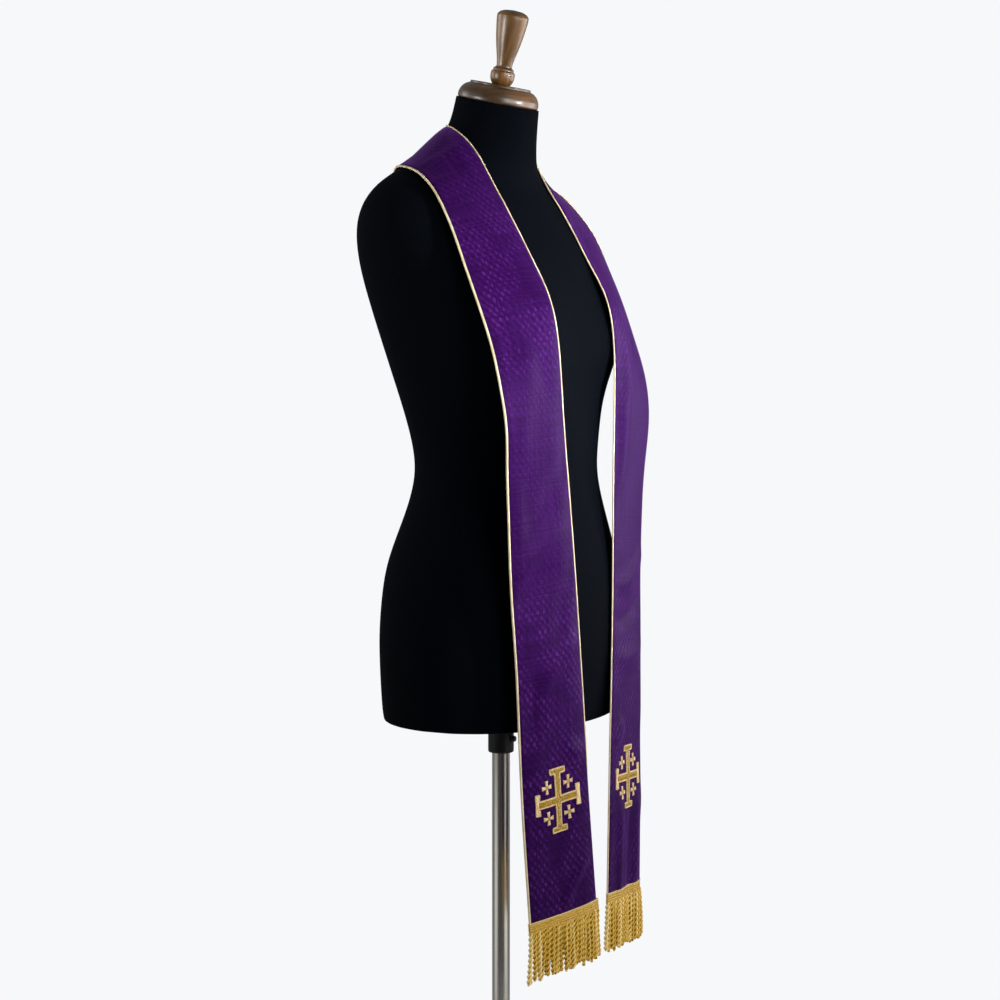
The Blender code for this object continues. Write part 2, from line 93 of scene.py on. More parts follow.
def piece_from(mesh, finish, body, nodes):
    """An object of this mesh that rides on a body and stands for CAD nodes."""
    mesh.materials.clear()
    mesh.materials.append(finish)
    made = bpy.data.objects.new(mesh.name, mesh)
    bpy.context.scene.collection.objects.link(made)
    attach(made, body)
    if nodes:
        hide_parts(*nodes)
    return made


def turned(name, corners, sides, place=Matrix()):
    """A solid of revolution about Z.

    Its profile has corners (radius, height, rounding) in millimetres, from the axis at the
    bottom, up the outside, to the axis at the top.
    """
    profile = [corners[0][:2]]
    for before, (radius, height, rounding), after in zip(corners, corners[1:], corners[2:]):
        here = Vector((radius, height))
        if not rounding:
            profile.append((radius, height))
            continue
        back, on = Vector(before[:2]) - here, Vector(after[:2]) - here
        start = here + back.normalized() * min(rounding, back.length * 0.42)
        end = here + on.normalized() * min(rounding, on.length * 0.42)
        profile.append(tuple(start + (start - here) * 0.12))
        for step in range(7):
            u = step / 6
            profile.append(tuple(start * (1 - u) ** 2 + here * 2 * u * (1 - u) + end * u * u))
        profile.append(tuple(end + (end - here) * 0.12))
    profile.append(corners[-1][:2])
    bm = bmesh.new()
    rings = []
    for radius, height in profile:
        turns = sides if radius > 1e-6 else 1
        rings.append([
            bm.verts.new(place @ Vector((
                radius * math.cos(2 * math.pi * i / turns) * MM,
                radius * math.sin(2 * math.pi * i / turns) * MM,
                height * MM,
            ))) for i in range(turns)
        ])
    for low, high in zip(rings, rings[1:]):
        for i in range(sides):
            j = (i + 1) % sides
            loop = (low[i % len(low)], low[j % len(low)], high[j % len(high)], high[i % len(high)])
            face = [v for k, v in enumerate(loop) if v not in loop[:k]]
            if len(face) > 2:
                bm.faces.new(face)
    mesh = bpy.data.meshes.new(name)
    bm.to_mesh(mesh)
    bm.free()
    mesh.shade_smooth()
    return mesh


# Satin enamel on cast iron: near black, a soft even gloss, with the peel of sprayed paint.
enamel, tree, shader = surface("satin_black_enamel", {"Roughness": 0.42, "IOR": 1.5})
place = add(tree, "ShaderNodeTexCoord").outputs["Object"]
cast = add(tree, "ShaderNodeTexNoise", {"Vector": place, "Scale": 180, "Detail": 3})
peel = add(tree, "ShaderNodeTexNoise", {"Vector": place, "Scale": 700, "Detail": 1})
relief = add(tree, "ShaderNodeMath", {0: cast, 1: peel}, operation="ADD")
feed(shader, {
    "Base Color": add(tree, "ShaderNodeValToRGB", {"Fac": cast},
                      stops=[(0.3, "#101012"), (0.7, "#1B1B1E")]),
    "Normal": add(tree, "ShaderNodeBump", {
        "Strength": 0.35, "Distance": 0.0004, "Height": relief}),
})

BASE_RADIUS = 165
BASE_THICKNESS = 8
BOSS_RADIUS = 19
BOSS_TOP = 50
POLE_RADIUS = 11
BORE_RADIUS = POLE_RADIUS + 0.4
piece_from(turned("iron_base", [
    (0, 0, 0), (BASE_RADIUS, 0, 0.8), (BASE_RADIUS, BASE_THICKNESS, 5),
    (BOSS_RADIUS + 5, BASE_THICKNESS, 5), (BOSS_RADIUS, BASE_THICKNESS + 5, 3),
    (BOSS_RADIUS, BOSS_TOP, 2.5), (BORE_RADIUS, BOSS_TOP, 0.5),
    (BORE_RADIUS, BASE_THICKNESS + 0.1, 0), (0, BASE_THICKNESS + 0.1, 0),
], 128), enamel, "stand", ["base_plate"])


# ---------------------------------------------------------------- pole
# A seamless steel tube, drawn, brushed along its length and satin chromed. It stands in the boss
# of the base, and the torso slides on its upper end.

UNDERSIDE = 713
POLE_FOOT = BASE_THICKNESS + 0.4
POLE_TOP = UNDERSIDE + 150

# Satin chrome on steel: bright, with faint streaks along the tube from brushing.
chrome, tree, shader = surface("satin_chromed_steel", {"Metallic": 1.0})
place = add(tree, "ShaderNodeTexCoord").outputs["Object"]
along = add(tree, "ShaderNodeMapping", {"Vector": place, "Scale": (900, 900, 6)})
brushed = add(tree, "ShaderNodeTexNoise", {"Vector": along, "Scale": 1, "Detail": 4})
feed(shader, {
    "Base Color": add(tree, "ShaderNodeValToRGB", {"Fac": brushed},
                      stops=[(0.3, "#C3BEB4"), (0.7, "#D8D4CB")]),
    "Roughness": add(tree, "ShaderNodeMapRange", {
        "Value": brushed, "To Min": 0.24, "To Max": 0.32}),
    "Normal": add(tree, "ShaderNodeBump", {
        "Strength": 0.12, "Distance": 0.0002, "Height": brushed}),
})

piece_from(turned("steel_pole", [
    (0, POLE_FOOT, 0), (POLE_RADIUS, POLE_FOOT, 0.5), (POLE_RADIUS, POLE_TOP, 3),
    (0, POLE_TOP, 0),
], 96), chrome, "stand", ["pole"])


# ---------------------------------------------------------------- socket and clamp screw
# A moulded nylon socket under the torso that slides on the pole, and the moulded screw that
# clamps it. Nylon has a fine spark-eroded grain from its mould.

# Black nylon: deep black and half matt, broken up by the mould's grain.
nylon, tree, shader = surface("moulded_black_nylon", {
    "Roughness": 0.48, "IOR": 1.53, "Specular IOR Level": 0.3,
})
place = add(tree, "ShaderNodeTexCoord").outputs["Object"]
grain = add(tree, "ShaderNodeTexNoise", {"Vector": place, "Scale": 1800, "Detail": 2})
feed(shader, {
    "Base Color": add(tree, "ShaderNodeValToRGB", {"Fac": grain},
                      stops=[(0.35, "#040505"), (0.7, "#0A0B0C")]),
    "Normal": add(tree, "ShaderNodeBump", {
        "Strength": 0.4, "Distance": 0.0002, "Height": grain}),
})

SOCKET_RADIUS = 15.9
COLLAR_RADIUS = 16.7
FLANGE_RADIUS = 22
SOCKET_BOTTOM = UNDERSIDE - 51
SOCKET_TOP = UNDERSIDE - 0.3
SCREW_HEIGHT = UNDERSIDE - 33
piece_from(turned("nylon_socket", [
    (BORE_RADIUS, SOCKET_BOTTOM, 0), (SOCKET_RADIUS, SOCKET_BOTTOM, 2.6),
    (SOCKET_RADIUS, UNDERSIDE - 27, 0), (COLLAR_RADIUS, UNDERSIDE - 24, 0.6),
    (COLLAR_RADIUS, UNDERSIDE - 6.5, 1), (FLANGE_RADIUS, UNDERSIDE - 4.4, 0.8),
    (FLANGE_RADIUS, SOCKET_TOP, 0.3), (BORE_RADIUS, SOCKET_TOP, 0),
    (BORE_RADIUS, SOCKET_BOTTOM, 0),
], 96), nylon, "socket", ["pole_socket"])

screw_place = Matrix.Translation((0, 0, SCREW_HEIGHT * MM)) @ Matrix.Rotation(
    math.radians(90), 4, "X")
piece_from(turned("nylon_clamp_screw", [
    (0, 11.3, 0), (1.8, 11.3, 0.3), (1.8, 16.2, 0), (2.6, 16.4, 0.4), (3.6, 17.4, 0.6),
    (3.6, 21.2, 1.4), (0, 21.2, 0),
], 48, screw_place), nylon, "clamp", ["clamp_screw"])


# ---------------------------------------------------------------- torso
# A limbless foam torso under a tight cover of fine cotton jersey, knitted as a tube and pulled
# over it from the neck to the underside.

# Cotton jersey: black, wholly matt, with columns of small stitches 1.5 mm apart. Real ones are
# under 1 mm apart, and are drawn this coarse to show.
jersey, tree, shader = surface("black_cotton_jersey", {
    "Roughness": 0.85, "Specular IOR Level": 0.03, "Sheen Weight": 0.002,
    "Sheen Roughness": 0.6, "Sheen Tint": linear("#8FA0C0"),
})
place = add(tree, "ShaderNodeTexCoord").outputs["Object"]
columns = add(tree, "ShaderNodeTexWave", {"Vector": place, "Scale": 210, "Distortion": 0.4},
              bands_direction="DIAGONAL").outputs["Fac"]
fuzz = add(tree, "ShaderNodeTexNoise", {"Vector": place, "Scale": 900, "Detail": 2})
knit = add(tree, "ShaderNodeMath", {0: columns, 1: fuzz}, operation="ADD")
feed(shader, {
    "Base Color": add(tree, "ShaderNodeValToRGB", {"Fac": fuzz},
                      stops=[(0.3, "#010307"), (0.7, "#04070D")]),
    "Normal": add(tree, "ShaderNodeBump", {
        "Strength": 0.3, "Distance": 0.0004, "Height": knit}),
})

FOLD_ANGLE = math.radians(45)
FOLD_CREASE = 0.75
bm = bmesh.new()
bm.from_mesh(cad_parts["form_torso"].data)
bmesh.ops.remove_doubles(bm, verts=bm.verts, dist=1e-6)
torso_tree = BVHTree.FromBMesh(bm)
bmesh.ops.join_triangles(bm, faces=bm.faces, angle_face_threshold=math.radians(30),
                         angle_shape_threshold=math.radians(60))
crease = bm.edges.layers.float.new("crease_edge")
for edge in bm.edges:
    if len(edge.link_faces) == 2 and edge.calc_face_angle(0) > FOLD_ANGLE:
        edge[crease] = FOLD_CREASE
mesh = bpy.data.meshes.new("jersey_torso")
bm.to_mesh(mesh)
bm.free()
mesh.shade_smooth()
torso = piece_from(mesh, jersey, "form", ["form_torso"])
smooth = torso.modifiers.new("Smooth", "SUBSURF")
smooth.levels = smooth.render_levels = 2


# ---------------------------------------------------------------- neck cap and finial
# A turned walnut cap closes the neck, and a turned finial stands on it as a handle. Both are
# sanded, stained and varnished, with the grain across the cap and along the finial.

NECK_CUT = 740
NECK_FRONT = 45
NECK_BACK = 55
NECK_TILT = math.radians(12.5)
FINIAL_FOOT = 22.1
neck_y = (NECK_BACK - NECK_FRONT) / 2
neck_place = Matrix.Translation((
    0, neck_y * MM, (UNDERSIDE + NECK_CUT + math.tan(NECK_TILT) * neck_y) * MM,
)) @ Matrix.Rotation(NECK_TILT, 4, "X")


def walnut(name, turn, light, middle, dark):
    """Varnished walnut whose grain runs along Z once the object is turned."""
    made, tree, shader = surface(name, {
        "Roughness": 0.45, "IOR": 1.5, "Coat Weight": 0.75, "Coat Roughness": 0.27,
    })
    texture = add(tree, "ShaderNodeTexCoord").outputs
    aligned = add(tree, "ShaderNodeMapping", {"Vector": texture["Object"], "Rotation": turn})
    drawn = add(tree, "ShaderNodeMapping", {"Vector": aligned, "Scale": (1, 1, 0.09)})
    cloudy = add(tree, "ShaderNodeTexNoise", {"Vector": drawn, "Scale": 55, "Detail": 4})
    rings = add(tree, "ShaderNodeTexWave", {
        "Vector": drawn, "Scale": 45, "Distortion": 5.0, "Detail": 2.0, "Detail Scale": 1.2,
    }, bands_direction="X").outputs["Fac"]
    pores = add(tree, "ShaderNodeTexNoise", {"Vector": drawn, "Scale": 900, "Detail": 2})
    figure = add(tree, "ShaderNodeMath", {0: rings, 1: 0.12, 2: cloudy}, operation="MULTIPLY_ADD")
    figure = add(tree, "ShaderNodeMath", {0: pores, 1: 0.3, 2: figure}, operation="MULTIPLY_ADD")
    colour = add(tree, "ShaderNodeValToRGB", {"Fac": figure},
                 stops=[(0.45, dark), (0.68, middle), (0.92, light)])
    facing = add(tree, "ShaderNodeMapping", {"Vector": texture["Normal"], "Rotation": turn})
    facing = add(tree, "ShaderNodeSeparateXYZ", {0: facing}).outputs["Z"]
    facing = add(tree, "ShaderNodeMath", {0: facing}, operation="ABSOLUTE")
    end_grain = add(tree, "ShaderNodeMapRange", {
        "Value": facing, "From Min": 0.5, "From Max": 0.95, "To Min": 0.0, "To Max": 0.75,
    })
    feed(shader, {
        "Base Color": add(tree, "ShaderNodeMix", {
            "Factor": end_grain, 6: colour, 7: linear(dark)}, data_type="RGBA"),
        "Normal": add(tree, "ShaderNodeBump", {
            "Strength": 0.12, "Distance": 0.0003, "Height": pores}),
    })
    return made


# Walnut seen on its side grain: mid brown with darker pores. The finial is paler than the cap.
cap_wood = walnut("varnished_walnut_cap", (0, math.radians(90), 0), "#6C481F", "#523614", "#2B1A05")
finial_wood = walnut("varnished_walnut_finial", (-NECK_TILT, 0, 0), "#8F6126", "#6D4917", "#362206")

piece_from(turned("walnut_cap", [
    (0, 0.3, 0), (48.2, 0.3, 0.6), (49.2, 2, 0.8), (49.2, 5, 1.2), (48.4, 9, 1.5), (45.8, 14, 2),
    (41.5, 17.8, 2), (36.9, 19.6, 0.4), (36.9, 21.9, 0.7), (0, 21.9, 0),
], 128, neck_place), cap_wood, "form", ["neck_cap"])

piece_from(turned("walnut_finial", [(radius, height + FINIAL_FOOT, rounding) for
                                    radius, height, rounding in (
    (0, 0, 0), (10.6, 0, 0.5), (13.2, 3.5, 2), (14.6, 8, 2.5), (14.7, 13, 1.6), (14.1, 15.9, 0.5),
    (12.2, 16.5, 0.4), (12.8, 17.4, 0.6), (12.4, 19.2, 0.7), (11, 20.2, 0.5), (9.3, 21.6, 1.2),
    (9.9, 27, 3), (11.3, 34, 4), (13.6, 43.5, 5), (16, 55, 6), (17.9, 68, 6), (19.1, 77, 4),
    (19.2, 82.2, 0.8), (16.6, 85.8, 2.2), (10.5, 88.3, 3), (0, 89.2, 0),
)], 96, neck_place), finial_wood, "form", ["finial"])


# ---------------------------------------------------------------- panels of the stole
# Two long panels of purple satin brocade over an interlining, seamed at the centre back of the
# neck. They lie over the shoulders and the bust and hang free below, with the soft creases of
# cloth that was folded.

STOLE_COLUMNS = (
    "inner_x", "inner_y", "inner_z", "outer_x", "outer_y", "outer_z",
    "left_bow", "right_bow", "curl",
)
STOLE_ROWS = (
    (0.25, 68, 716, 0.25, 121, 640, 0, 0, 0), (26, 62, 716, 45, 118, 644, 1, 1, 0),
    (44, 46, 714, 83, 100, 655, 0, 3, 0), (54, 28, 708, 110, 68, 660, -3, 5, 0),
    (60, 8, 695, 128, 39, 657, -6, 5, 0), (60, -10, 676, 142, 8, 641, -6, 4, 0),
    (58, -25, 648, 147, -9, 624, -2, 4, 0), (60, -54, 600, 158, -38, 585, 5, 4, 1),
    (60.5, -85.5, 552, 160, -58.5, 538, 5.5, 4, 2), (62.8, -113, 506, 161, -78, 494, 5.5, 5, 3),
    (61.2, -122.6, 459, 162, -96, 450, 5.5, 5, 4), (59.4, -125.5, 413, 166.5, -110.5, 405, 5, 5, 5),
    (56.4, -126.7, 366, 164, -118, 358, 4, 5, 6), (52.4, -128.6, 319, 159.5, -115, 311, 3.5, 4.5, 6),
    (48.3, -130.7, 272, 154.5, -113.5, 264, 3, 4.5, 6),
    (41.2, -134.8, 177, 149.5, -114, 169, 2.5, 4.5, 6),
    (34.6, -138, 82, 144, -118, 74, 2.5, 4.5, 6), (23.6, -142, -63, 139, -122, -71, 2, 4.5, 6),
    (11.5, -147, -211, 129.5, -127, -219, 2, 4.5, 5),
)
CURL_START = 0.84
RIGHT_CURL = 0.1
LEFT_PEAK = 0.5
RIGHT_PEAK = 0.27
GRID_STEP = 4
GRID_COLUMNS = 31
CORD_RADIUS = 1.3
REST_GAP = 1.1
WALL = 1.6
SLACK = 0.16
FADE_AT_EDGE = 15

# Soft creases of each half: (length up from the hem, distance out from the middle, angle of the
# crease from the stole's length, half its length, its width, its height), in mm and degrees.
CREASES = {
    -1: (
        (424, 14, -53, 52, 15, 3.6), (294, -12, -54, 46, 14, 3.4), (191, -33, 70, 16, 11, 2.4),
        (36, -22, -43, 38, 9, 2.6), (928, -4, 88, 34, 9, 1.4), (903, -10, 84, 40, 8, -1.3),
        (612, 12, -16, 70, 20, 1.9), (655, -20, 8, 70, 16, -1.4), (360, -30, -20, 60, 16, -1.6),
        (150, 24, 12, 70, 18, 1.5), (108, -8, -30, 60, 15, -1.5), (240, 30, -12, 60, 14, -1.5),
        (486, -16, -40, 60, 18, -1.8), (386, 22, -50, 40, 12, -1.6), (470, 34, 4, 46, 12, 1.4),
    ),
    1: (
        (536, -34, 4, 50, 11, 2.6), (389, 2, 62, 42, 12, 3.4), (288, 0, 80, 36, 12, 2.8),
        (194, -33, 30, 16, 11, 2.2), (45, -27, 0, 62, 9, 2.2), (45, 4, 0, 66, 10, -2.2),
        (50, 28, 2, 66, 10, 2.0), (640, -24, 6, 70, 14, 1.8), (340, -10, 70, 40, 12, -2.2),
        (100, 6, 80, 60, 24, 1.5), (176, 6, 80, 60, 24, -1.0),
    ),
}


def cubic(u):
    """The weights of four neighbours for a smooth curve between the middle two."""
    return 0.5 * np.array([
        -u + 2 * u ** 2 - u ** 3, 2 - 5 * u ** 2 + 3 * u ** 3,
        u + 4 * u ** 2 - 3 * u ** 3, -u ** 2 + u ** 3,
    ])


def through(rows, positions):
    """The rows at positions between whole rows, on a smooth curve through them."""
    padded = np.vstack([2 * rows[:1] - rows[1:2], rows, 2 * rows[-1:] - rows[-2:-1]])
    start = np.minimum(positions.astype(int), len(rows) - 2)
    weights = cubic(positions - start)
    return sum(weights[k][:, None] * padded[start + k] for k in range(4))


def between(grid, row, column):
    """Values of a grid at places between its rows and columns, on a smooth surface."""
    padded = np.pad(grid, ((1, 1), (1, 1), (0, 0)), "reflect", reflect_type="odd")
    i = np.clip(row.astype(int), 0, grid.shape[0] - 2)
    j = np.clip(column.astype(int), 0, grid.shape[1] - 2)
    down, across = cubic(row - i), cubic(column - j)
    return sum(
        (down[a] * across[b])[..., None] * padded[i + a, j + b]
        for a in range(4) for b in range(4)
    )


class Half:
    """One half of the stole as it lies, from the seam at the back of the neck to the hem."""

    def __init__(self, side):
        self.side = side
        rows = np.array(STOLE_ROWS, float)
        rows[:, [2, 5]] += UNDERSIDE
        fine = np.linspace(0, len(rows) - 1, 1200)
        table = through(rows, fine)
        steps = np.linalg.norm(np.diff((table[:, :3] + table[:, 3:6]) / 2, axis=0), axis=1)
        reached = np.concatenate([[0], np.cumsum(steps)])
        self.length = reached[-1]
        self.along = np.linspace(0, self.length, round(self.length / GRID_STEP) + 1)
        section = through(rows, np.interp(self.along, reached, fine))
        chord = section[:, 3:6] - section[:, :3]
        self.width = np.linalg.norm(chord, axis=1)
        self.lay(section, chord)

    def lay(self, section, chord):
        """Lays the middle surface over the torso, as a grid of points and normals."""
        run = np.gradient(section[:, :3] + section[:, 3:6], axis=0)
        run[0] = (1, 0, 0)
        out = np.cross(run, chord)
        out /= np.linalg.norm(out, axis=1)[:, None]
        bow = section[:, STOLE_COLUMNS.index("left_bow" if self.side > 0 else "right_bow")]
        curl = section[:, STOLE_COLUMNS.index("curl")] * (1 if self.side > 0 else RIGHT_CURL)
        peak = LEFT_PEAK if self.side > 0 else RIGHT_PEAK
        share = np.linspace(0, 1, GRID_COLUMNS)
        quarter = np.where(share < peak, share / peak, (1 - share) / (1 - peak))
        rolled = np.clip((share - CURL_START) / (1 - CURL_START), 0, None) ** 2
        proud = bow[:, None] * np.sin(np.pi / 2 * quarter) - curl[:, None] * rolled
        points = section[:, None, :3] + chord[:, None] * share[:, None] + out[:, None] * proud[..., None]
        points = self.rest(points)
        for settling in range(36):
            points[1:-1] = points[:-2] / 4 + points[1:-1] / 2 + points[2:] / 4
            if settling % 6 == 5:
                points = self.rest(points)
        down, sideways = np.gradient(points, axis=0), np.gradient(points, axis=1)
        down[0, :, 1:] = 0
        normals = np.cross(down, sideways)
        self.points = points
        self.normals = normals / np.linalg.norm(normals, axis=2)[..., None]

    def rest(self, points):
        """The points, moved out of the torso to where the cloth rests on it."""
        wanted = CORD_RADIUS + REST_GAP
        for i, j in np.argwhere(points[..., 2] > UNDERSIDE - 10):
            near, normal, _, _ = torso_tree.find_nearest(Vector(points[i, j]) * MM)
            near, normal = np.array(near) / MM, np.array(normal)
            if np.dot(points[i, j] - near, normal) < wanted:
                points[i, j] = near + normal * wanted
        return points

    def creases(self, along, sideways, width):
        """How far the soft creases lift the cloth, in mm."""
        lift = np.zeros(np.shape(along))
        for above_hem, out, angle, half_length, spread, height in CREASES[self.side]:
            turn = math.radians(angle)
            up, aside = self.length - along - above_hem, sideways - out
            with_it = up * math.cos(turn) + aside * math.sin(turn)
            across_it = -up * math.sin(turn) + aside * math.cos(turn)
            across_it = across_it / spread + 0.35 * (with_it / half_length) ** 2
            lift += height * (1 + 0.8 * across_it) * np.exp(
                -across_it ** 2 - (with_it / half_length) ** 4)
        slack = np.sin(along / 23 + sideways / 31) + np.sin(along / 37 - sideways / 17 + self.side)
        lift += SLACK * slack * (1 + np.sin(along / 61 + 2))
        edge = np.clip((width / 2 - np.abs(sideways)) / FADE_AT_EDGE, 0, 1)
        return lift * edge * edge * (3 - 2 * edge)

    def at(self, along, sideways, lift=0.0):
        """Points in metres at lengths from the seam, distances out from the middle and lifts."""
        along, sideways, lift = np.broadcast_arrays(along, sideways, lift)
        row = along / self.length * (len(self.along) - 1)
        width = np.interp(along, self.along, self.width)
        column = (0.5 + sideways / width) * (GRID_COLUMNS - 1)
        normal = between(self.normals, row, column)
        normal /= np.linalg.norm(normal, axis=-1)[..., None]
        lift = lift + self.creases(along, sideways, width)
        point = between(self.points, row, column) + normal * lift[..., None]
        point[..., 0] *= self.side
        return point * MM


def shell(name, front, back, flat):
    """A closed sheet between two grids of points, with its flat place in metres as a UV map."""
    rows, columns = front.shape[:2]
    index = np.arange(rows * columns).reshape(rows, columns)

    def quads(grid):
        corners = (grid[:-1, :-1], grid[:-1, 1:], grid[1:, 1:], grid[1:, :-1])
        return np.stack(corners, -1).reshape(-1, 4)

    rim = np.concatenate([index[0, :-1], index[:-1, -1], index[-1, :0:-1], index[:0:-1, 0]])
    ahead, behind = np.roll(rim, -1), rows * columns
    sides = np.stack([rim, rim + behind, ahead + behind, ahead], -1)
    faces = np.concatenate([quads(index), quads(index + behind)[:, ::-1], sides])
    points = np.concatenate([front.reshape(-1, 3), back.reshape(-1, 3)])
    mesh = bpy.data.meshes.new(name)
    mesh.from_pydata(points.tolist(), [], faces.tolist())
    corners = np.empty(len(mesh.loops), np.int32)
    mesh.loops.foreach_get("vertex_index", corners)
    uv = mesh.uv_layers.new(name="Cloth")
    uv.data.foreach_set("uv", np.tile(flat.reshape(-1, 2), (2, 1))[corners].ravel() * MM)
    bm = bmesh.new()
    bm.from_mesh(mesh)
    bmesh.ops.recalc_face_normals(bm, faces=bm.faces)
    if bm.calc_volume(signed=True) < 0:
        bmesh.ops.reverse_faces(bm, faces=bm.faces)
    bm.to_mesh(mesh)
    bm.free()
    mesh.shade_smooth()
    return mesh


# Rayon satin brocade: deep purple, with a soft purple gloss. Small grains of weft floats, 9 mm
# apart across the cloth and 12 mm along it with a second set between them, lie on a ground of warp
# floats, and show less where the cloth is rubbed. The threads, really 0.3 mm apart, are drawn
# 1.6 mm apart so that they show.
GRAINS_APART = (0.0093, 0.0116, 1)
GRAIN_SIZE = (0.0021, 0.0038, 1)
THREAD = 0.0016
brocade, tree, shader = surface("purple_satin_brocade", {
    "IOR": 1.4, "Specular IOR Level": 0.06, "Specular Tint": linear("#B862FF"),
    "Sheen Weight": 0.32, "Sheen Roughness": 0.35, "Sheen Tint": linear("#BC5CFA"),
})
cloth = add(tree, "ShaderNodeUVMap", uv_map="Cloth")
sway = add(tree, "ShaderNodeTexNoise", {"Vector": cloth, "Scale": 70, "Detail": 2},
           noise_dimensions="2D").outputs["Color"]
woven = add(tree, "ShaderNodeVectorMath", {0: sway, 1: (0.0045, 0.0045, 0), 2: cloth},
            operation="MULTIPLY_ADD")
distances = []
for stagger in (0, 0.5):
    cell = add(tree, "ShaderNodeMapping", {
        "Vector": woven, "Location": (stagger, stagger, 0),
        "Scale": (1 / GRAINS_APART[0], 1 / GRAINS_APART[1], 1),
    })
    part = add(tree, "ShaderNodeVectorMath", {0: cell}, operation="FRACTION")
    placed = add(tree, "ShaderNodeVectorMath", {
        0: part, 1: GRAINS_APART, 2: (-GRAINS_APART[0] / 2, -GRAINS_APART[1] / 2, 0),
    }, operation="MULTIPLY_ADD")
    slanted = add(tree, "ShaderNodeMapping", {
        "Vector": placed, "Rotation": (0, 0, math.radians(24)), "Scale": GRAIN_SIZE,
    }, vector_type="TEXTURE")
    distances.append(add(tree, "ShaderNodeVectorMath", {0: slanted}, operation="LENGTH"))
nearest = add(tree, "ShaderNodeMath", dict(enumerate(distances)), operation="MINIMUM")
grain = add(tree, "ShaderNodeMapRange", {"Value": nearest, "From Min": 1.5, "From Max": 0.3},
            interpolation_type="SMOOTHSTEP")
worn = add(tree, "ShaderNodeTexNoise", {"Vector": cloth, "Scale": 22, "Detail": 3},
           noise_dimensions="2D")
clear = add(tree, "ShaderNodeMapRange", {
    "Value": worn, "From Min": 0.34, "From Max": 0.56, "To Min": 0.1, "To Max": 1.0})
down = add(tree, "ShaderNodeSeparateXYZ", {0: cloth}).outputs["Y"]
rubbed = add(tree, "ShaderNodeValToRGB", {"Fac": down}, stops=[
    (0.12, "#A0A0A0"), (0.26, "#E4E4E4"), (0.4, "#DCDCDC"), (0.48, "#9A9A9A"),
    (0.67, "#9A9A9A"), (0.74, "#F8F8F8")])
uneven = add(tree, "ShaderNodeTexNoise", {"Vector": woven, "Scale": 130, "Detail": 1},
             noise_dimensions="2D")
uneven = add(tree, "ShaderNodeMapRange", {
    "Value": uneven, "From Min": 0.3, "From Max": 0.7, "To Min": 0.55, "To Max": 1.2})
shown = grain
for fainter in (clear, rubbed, uneven):
    shown = add(tree, "ShaderNodeMath", {0: shown, 1: fainter}, operation="MULTIPLY")
streaks = []
for stretch in ((12, 420, 1), (420, 9, 1)):
    drawn = add(tree, "ShaderNodeMapping", {"Vector": woven, "Scale": stretch})
    streaks.append(add(tree, "ShaderNodeTexNoise", {"Vector": drawn, "Scale": 1, "Detail": 2},
                       noise_dimensions="2D"))
streak = add(tree, "ShaderNodeMath", dict(enumerate(streaks)), operation="ADD")
ground = add(tree, "ShaderNodeMath", {0: streak, 1: 0.3, 2: -0.1}, operation="MULTIPLY_ADD")
tone = add(tree, "ShaderNodeMath", {0: shown, 1: 0.33, 2: ground}, operation="MULTIPLY_ADD")
threads = []
for direction in ((1, 0, 0), (0, 1, 0)):
    counted = add(tree, "ShaderNodeVectorMath", {0: woven, 1: direction}, operation="DOT_PRODUCT")
    turns = add(tree, "ShaderNodeMath", {0: counted, 1: 2 * math.pi / THREAD},
                operation="MULTIPLY")
    threads.append(add(tree, "ShaderNodeMath", {0: turns}, operation="COSINE"))
thread = add(tree, "ShaderNodeMix", {0: grain, 2: threads[0], 3: threads[1]}, data_type="FLOAT")
relief = add(tree, "ShaderNodeMath", {0: thread, 1: 0.15, 2: shown}, operation="MULTIPLY_ADD")
feed(shader, {
    "Base Color": add(tree, "ShaderNodeValToRGB", {"Fac": tone},
                      stops=[(0.1, "#1D042E"), (0.35, "#310D4A"), (0.7, "#552772")]),
    "Roughness": add(tree, "ShaderNodeMapRange", {
        "Value": shown, "To Min": 0.42, "To Max": 0.34}),
    "Normal": add(tree, "ShaderNodeBump", {
        "Strength": 0.35, "Distance": 0.0005, "Height": relief}),
})

# The wall thins to its folded edges, and dips beside the piping where the two are stitched.
EDGE = 2 * CORD_RADIUS - 0.3
PANEL_STEP = 3.2
EDGE_STEPS = np.array([0, 0.7, 1.6, 2.8, 4.4])
EDGE_WALL = 0.45
EDGE_FOLD = 1.6
DITCH_DEPTH = 0.8
DITCH_WIDTH = 1.8
SIDES = {-1: "right", 1: "left"}
halves = {side: Half(side) for side in SIDES}
for side, side_name in SIDES.items():
    half = halves[side]
    along = np.linspace(0, half.length, round(half.length / PANEL_STEP) + 1)[:, None]
    reach = np.interp(along, half.along, half.width) / 2 - EDGE
    sideways = np.concatenate([
        EDGE_STEPS[:-1] - reach,
        (reach - EDGE_STEPS[-1]) * np.linspace(-1, 1, 37),
        reach - EDGE_STEPS[-2::-1],
    ], axis=1)
    inwards = reach - np.abs(sideways)
    from_edge = np.minimum(inwards, np.minimum(along + 0.2, half.length - along + 1))
    wall = WALL / 2 * (EDGE_WALL + (1 - EDGE_WALL) * (1 - np.exp(-from_edge / EDGE_FOLD)))
    ditch = DITCH_DEPTH * np.exp(-(inwards / DITCH_WIDTH) ** 2)
    flat = np.stack(np.broadcast_arrays(sideways, along), -1)
    mesh = shell(f"brocade_{side_name}", half.at(along, sideways, wall - ditch),
                 half.at(along, sideways, -wall + ditch * 0.2), flat)
    piece_from(mesh, brocade, "form", [f"stole_{side_name}"])


# ---------------------------------------------------------------- piping
# A round cord covered in cream satin with a gold cast, cut on the bias, and sewn into both long
# edges of each half. The right half's inner edge is turned under above the hem.


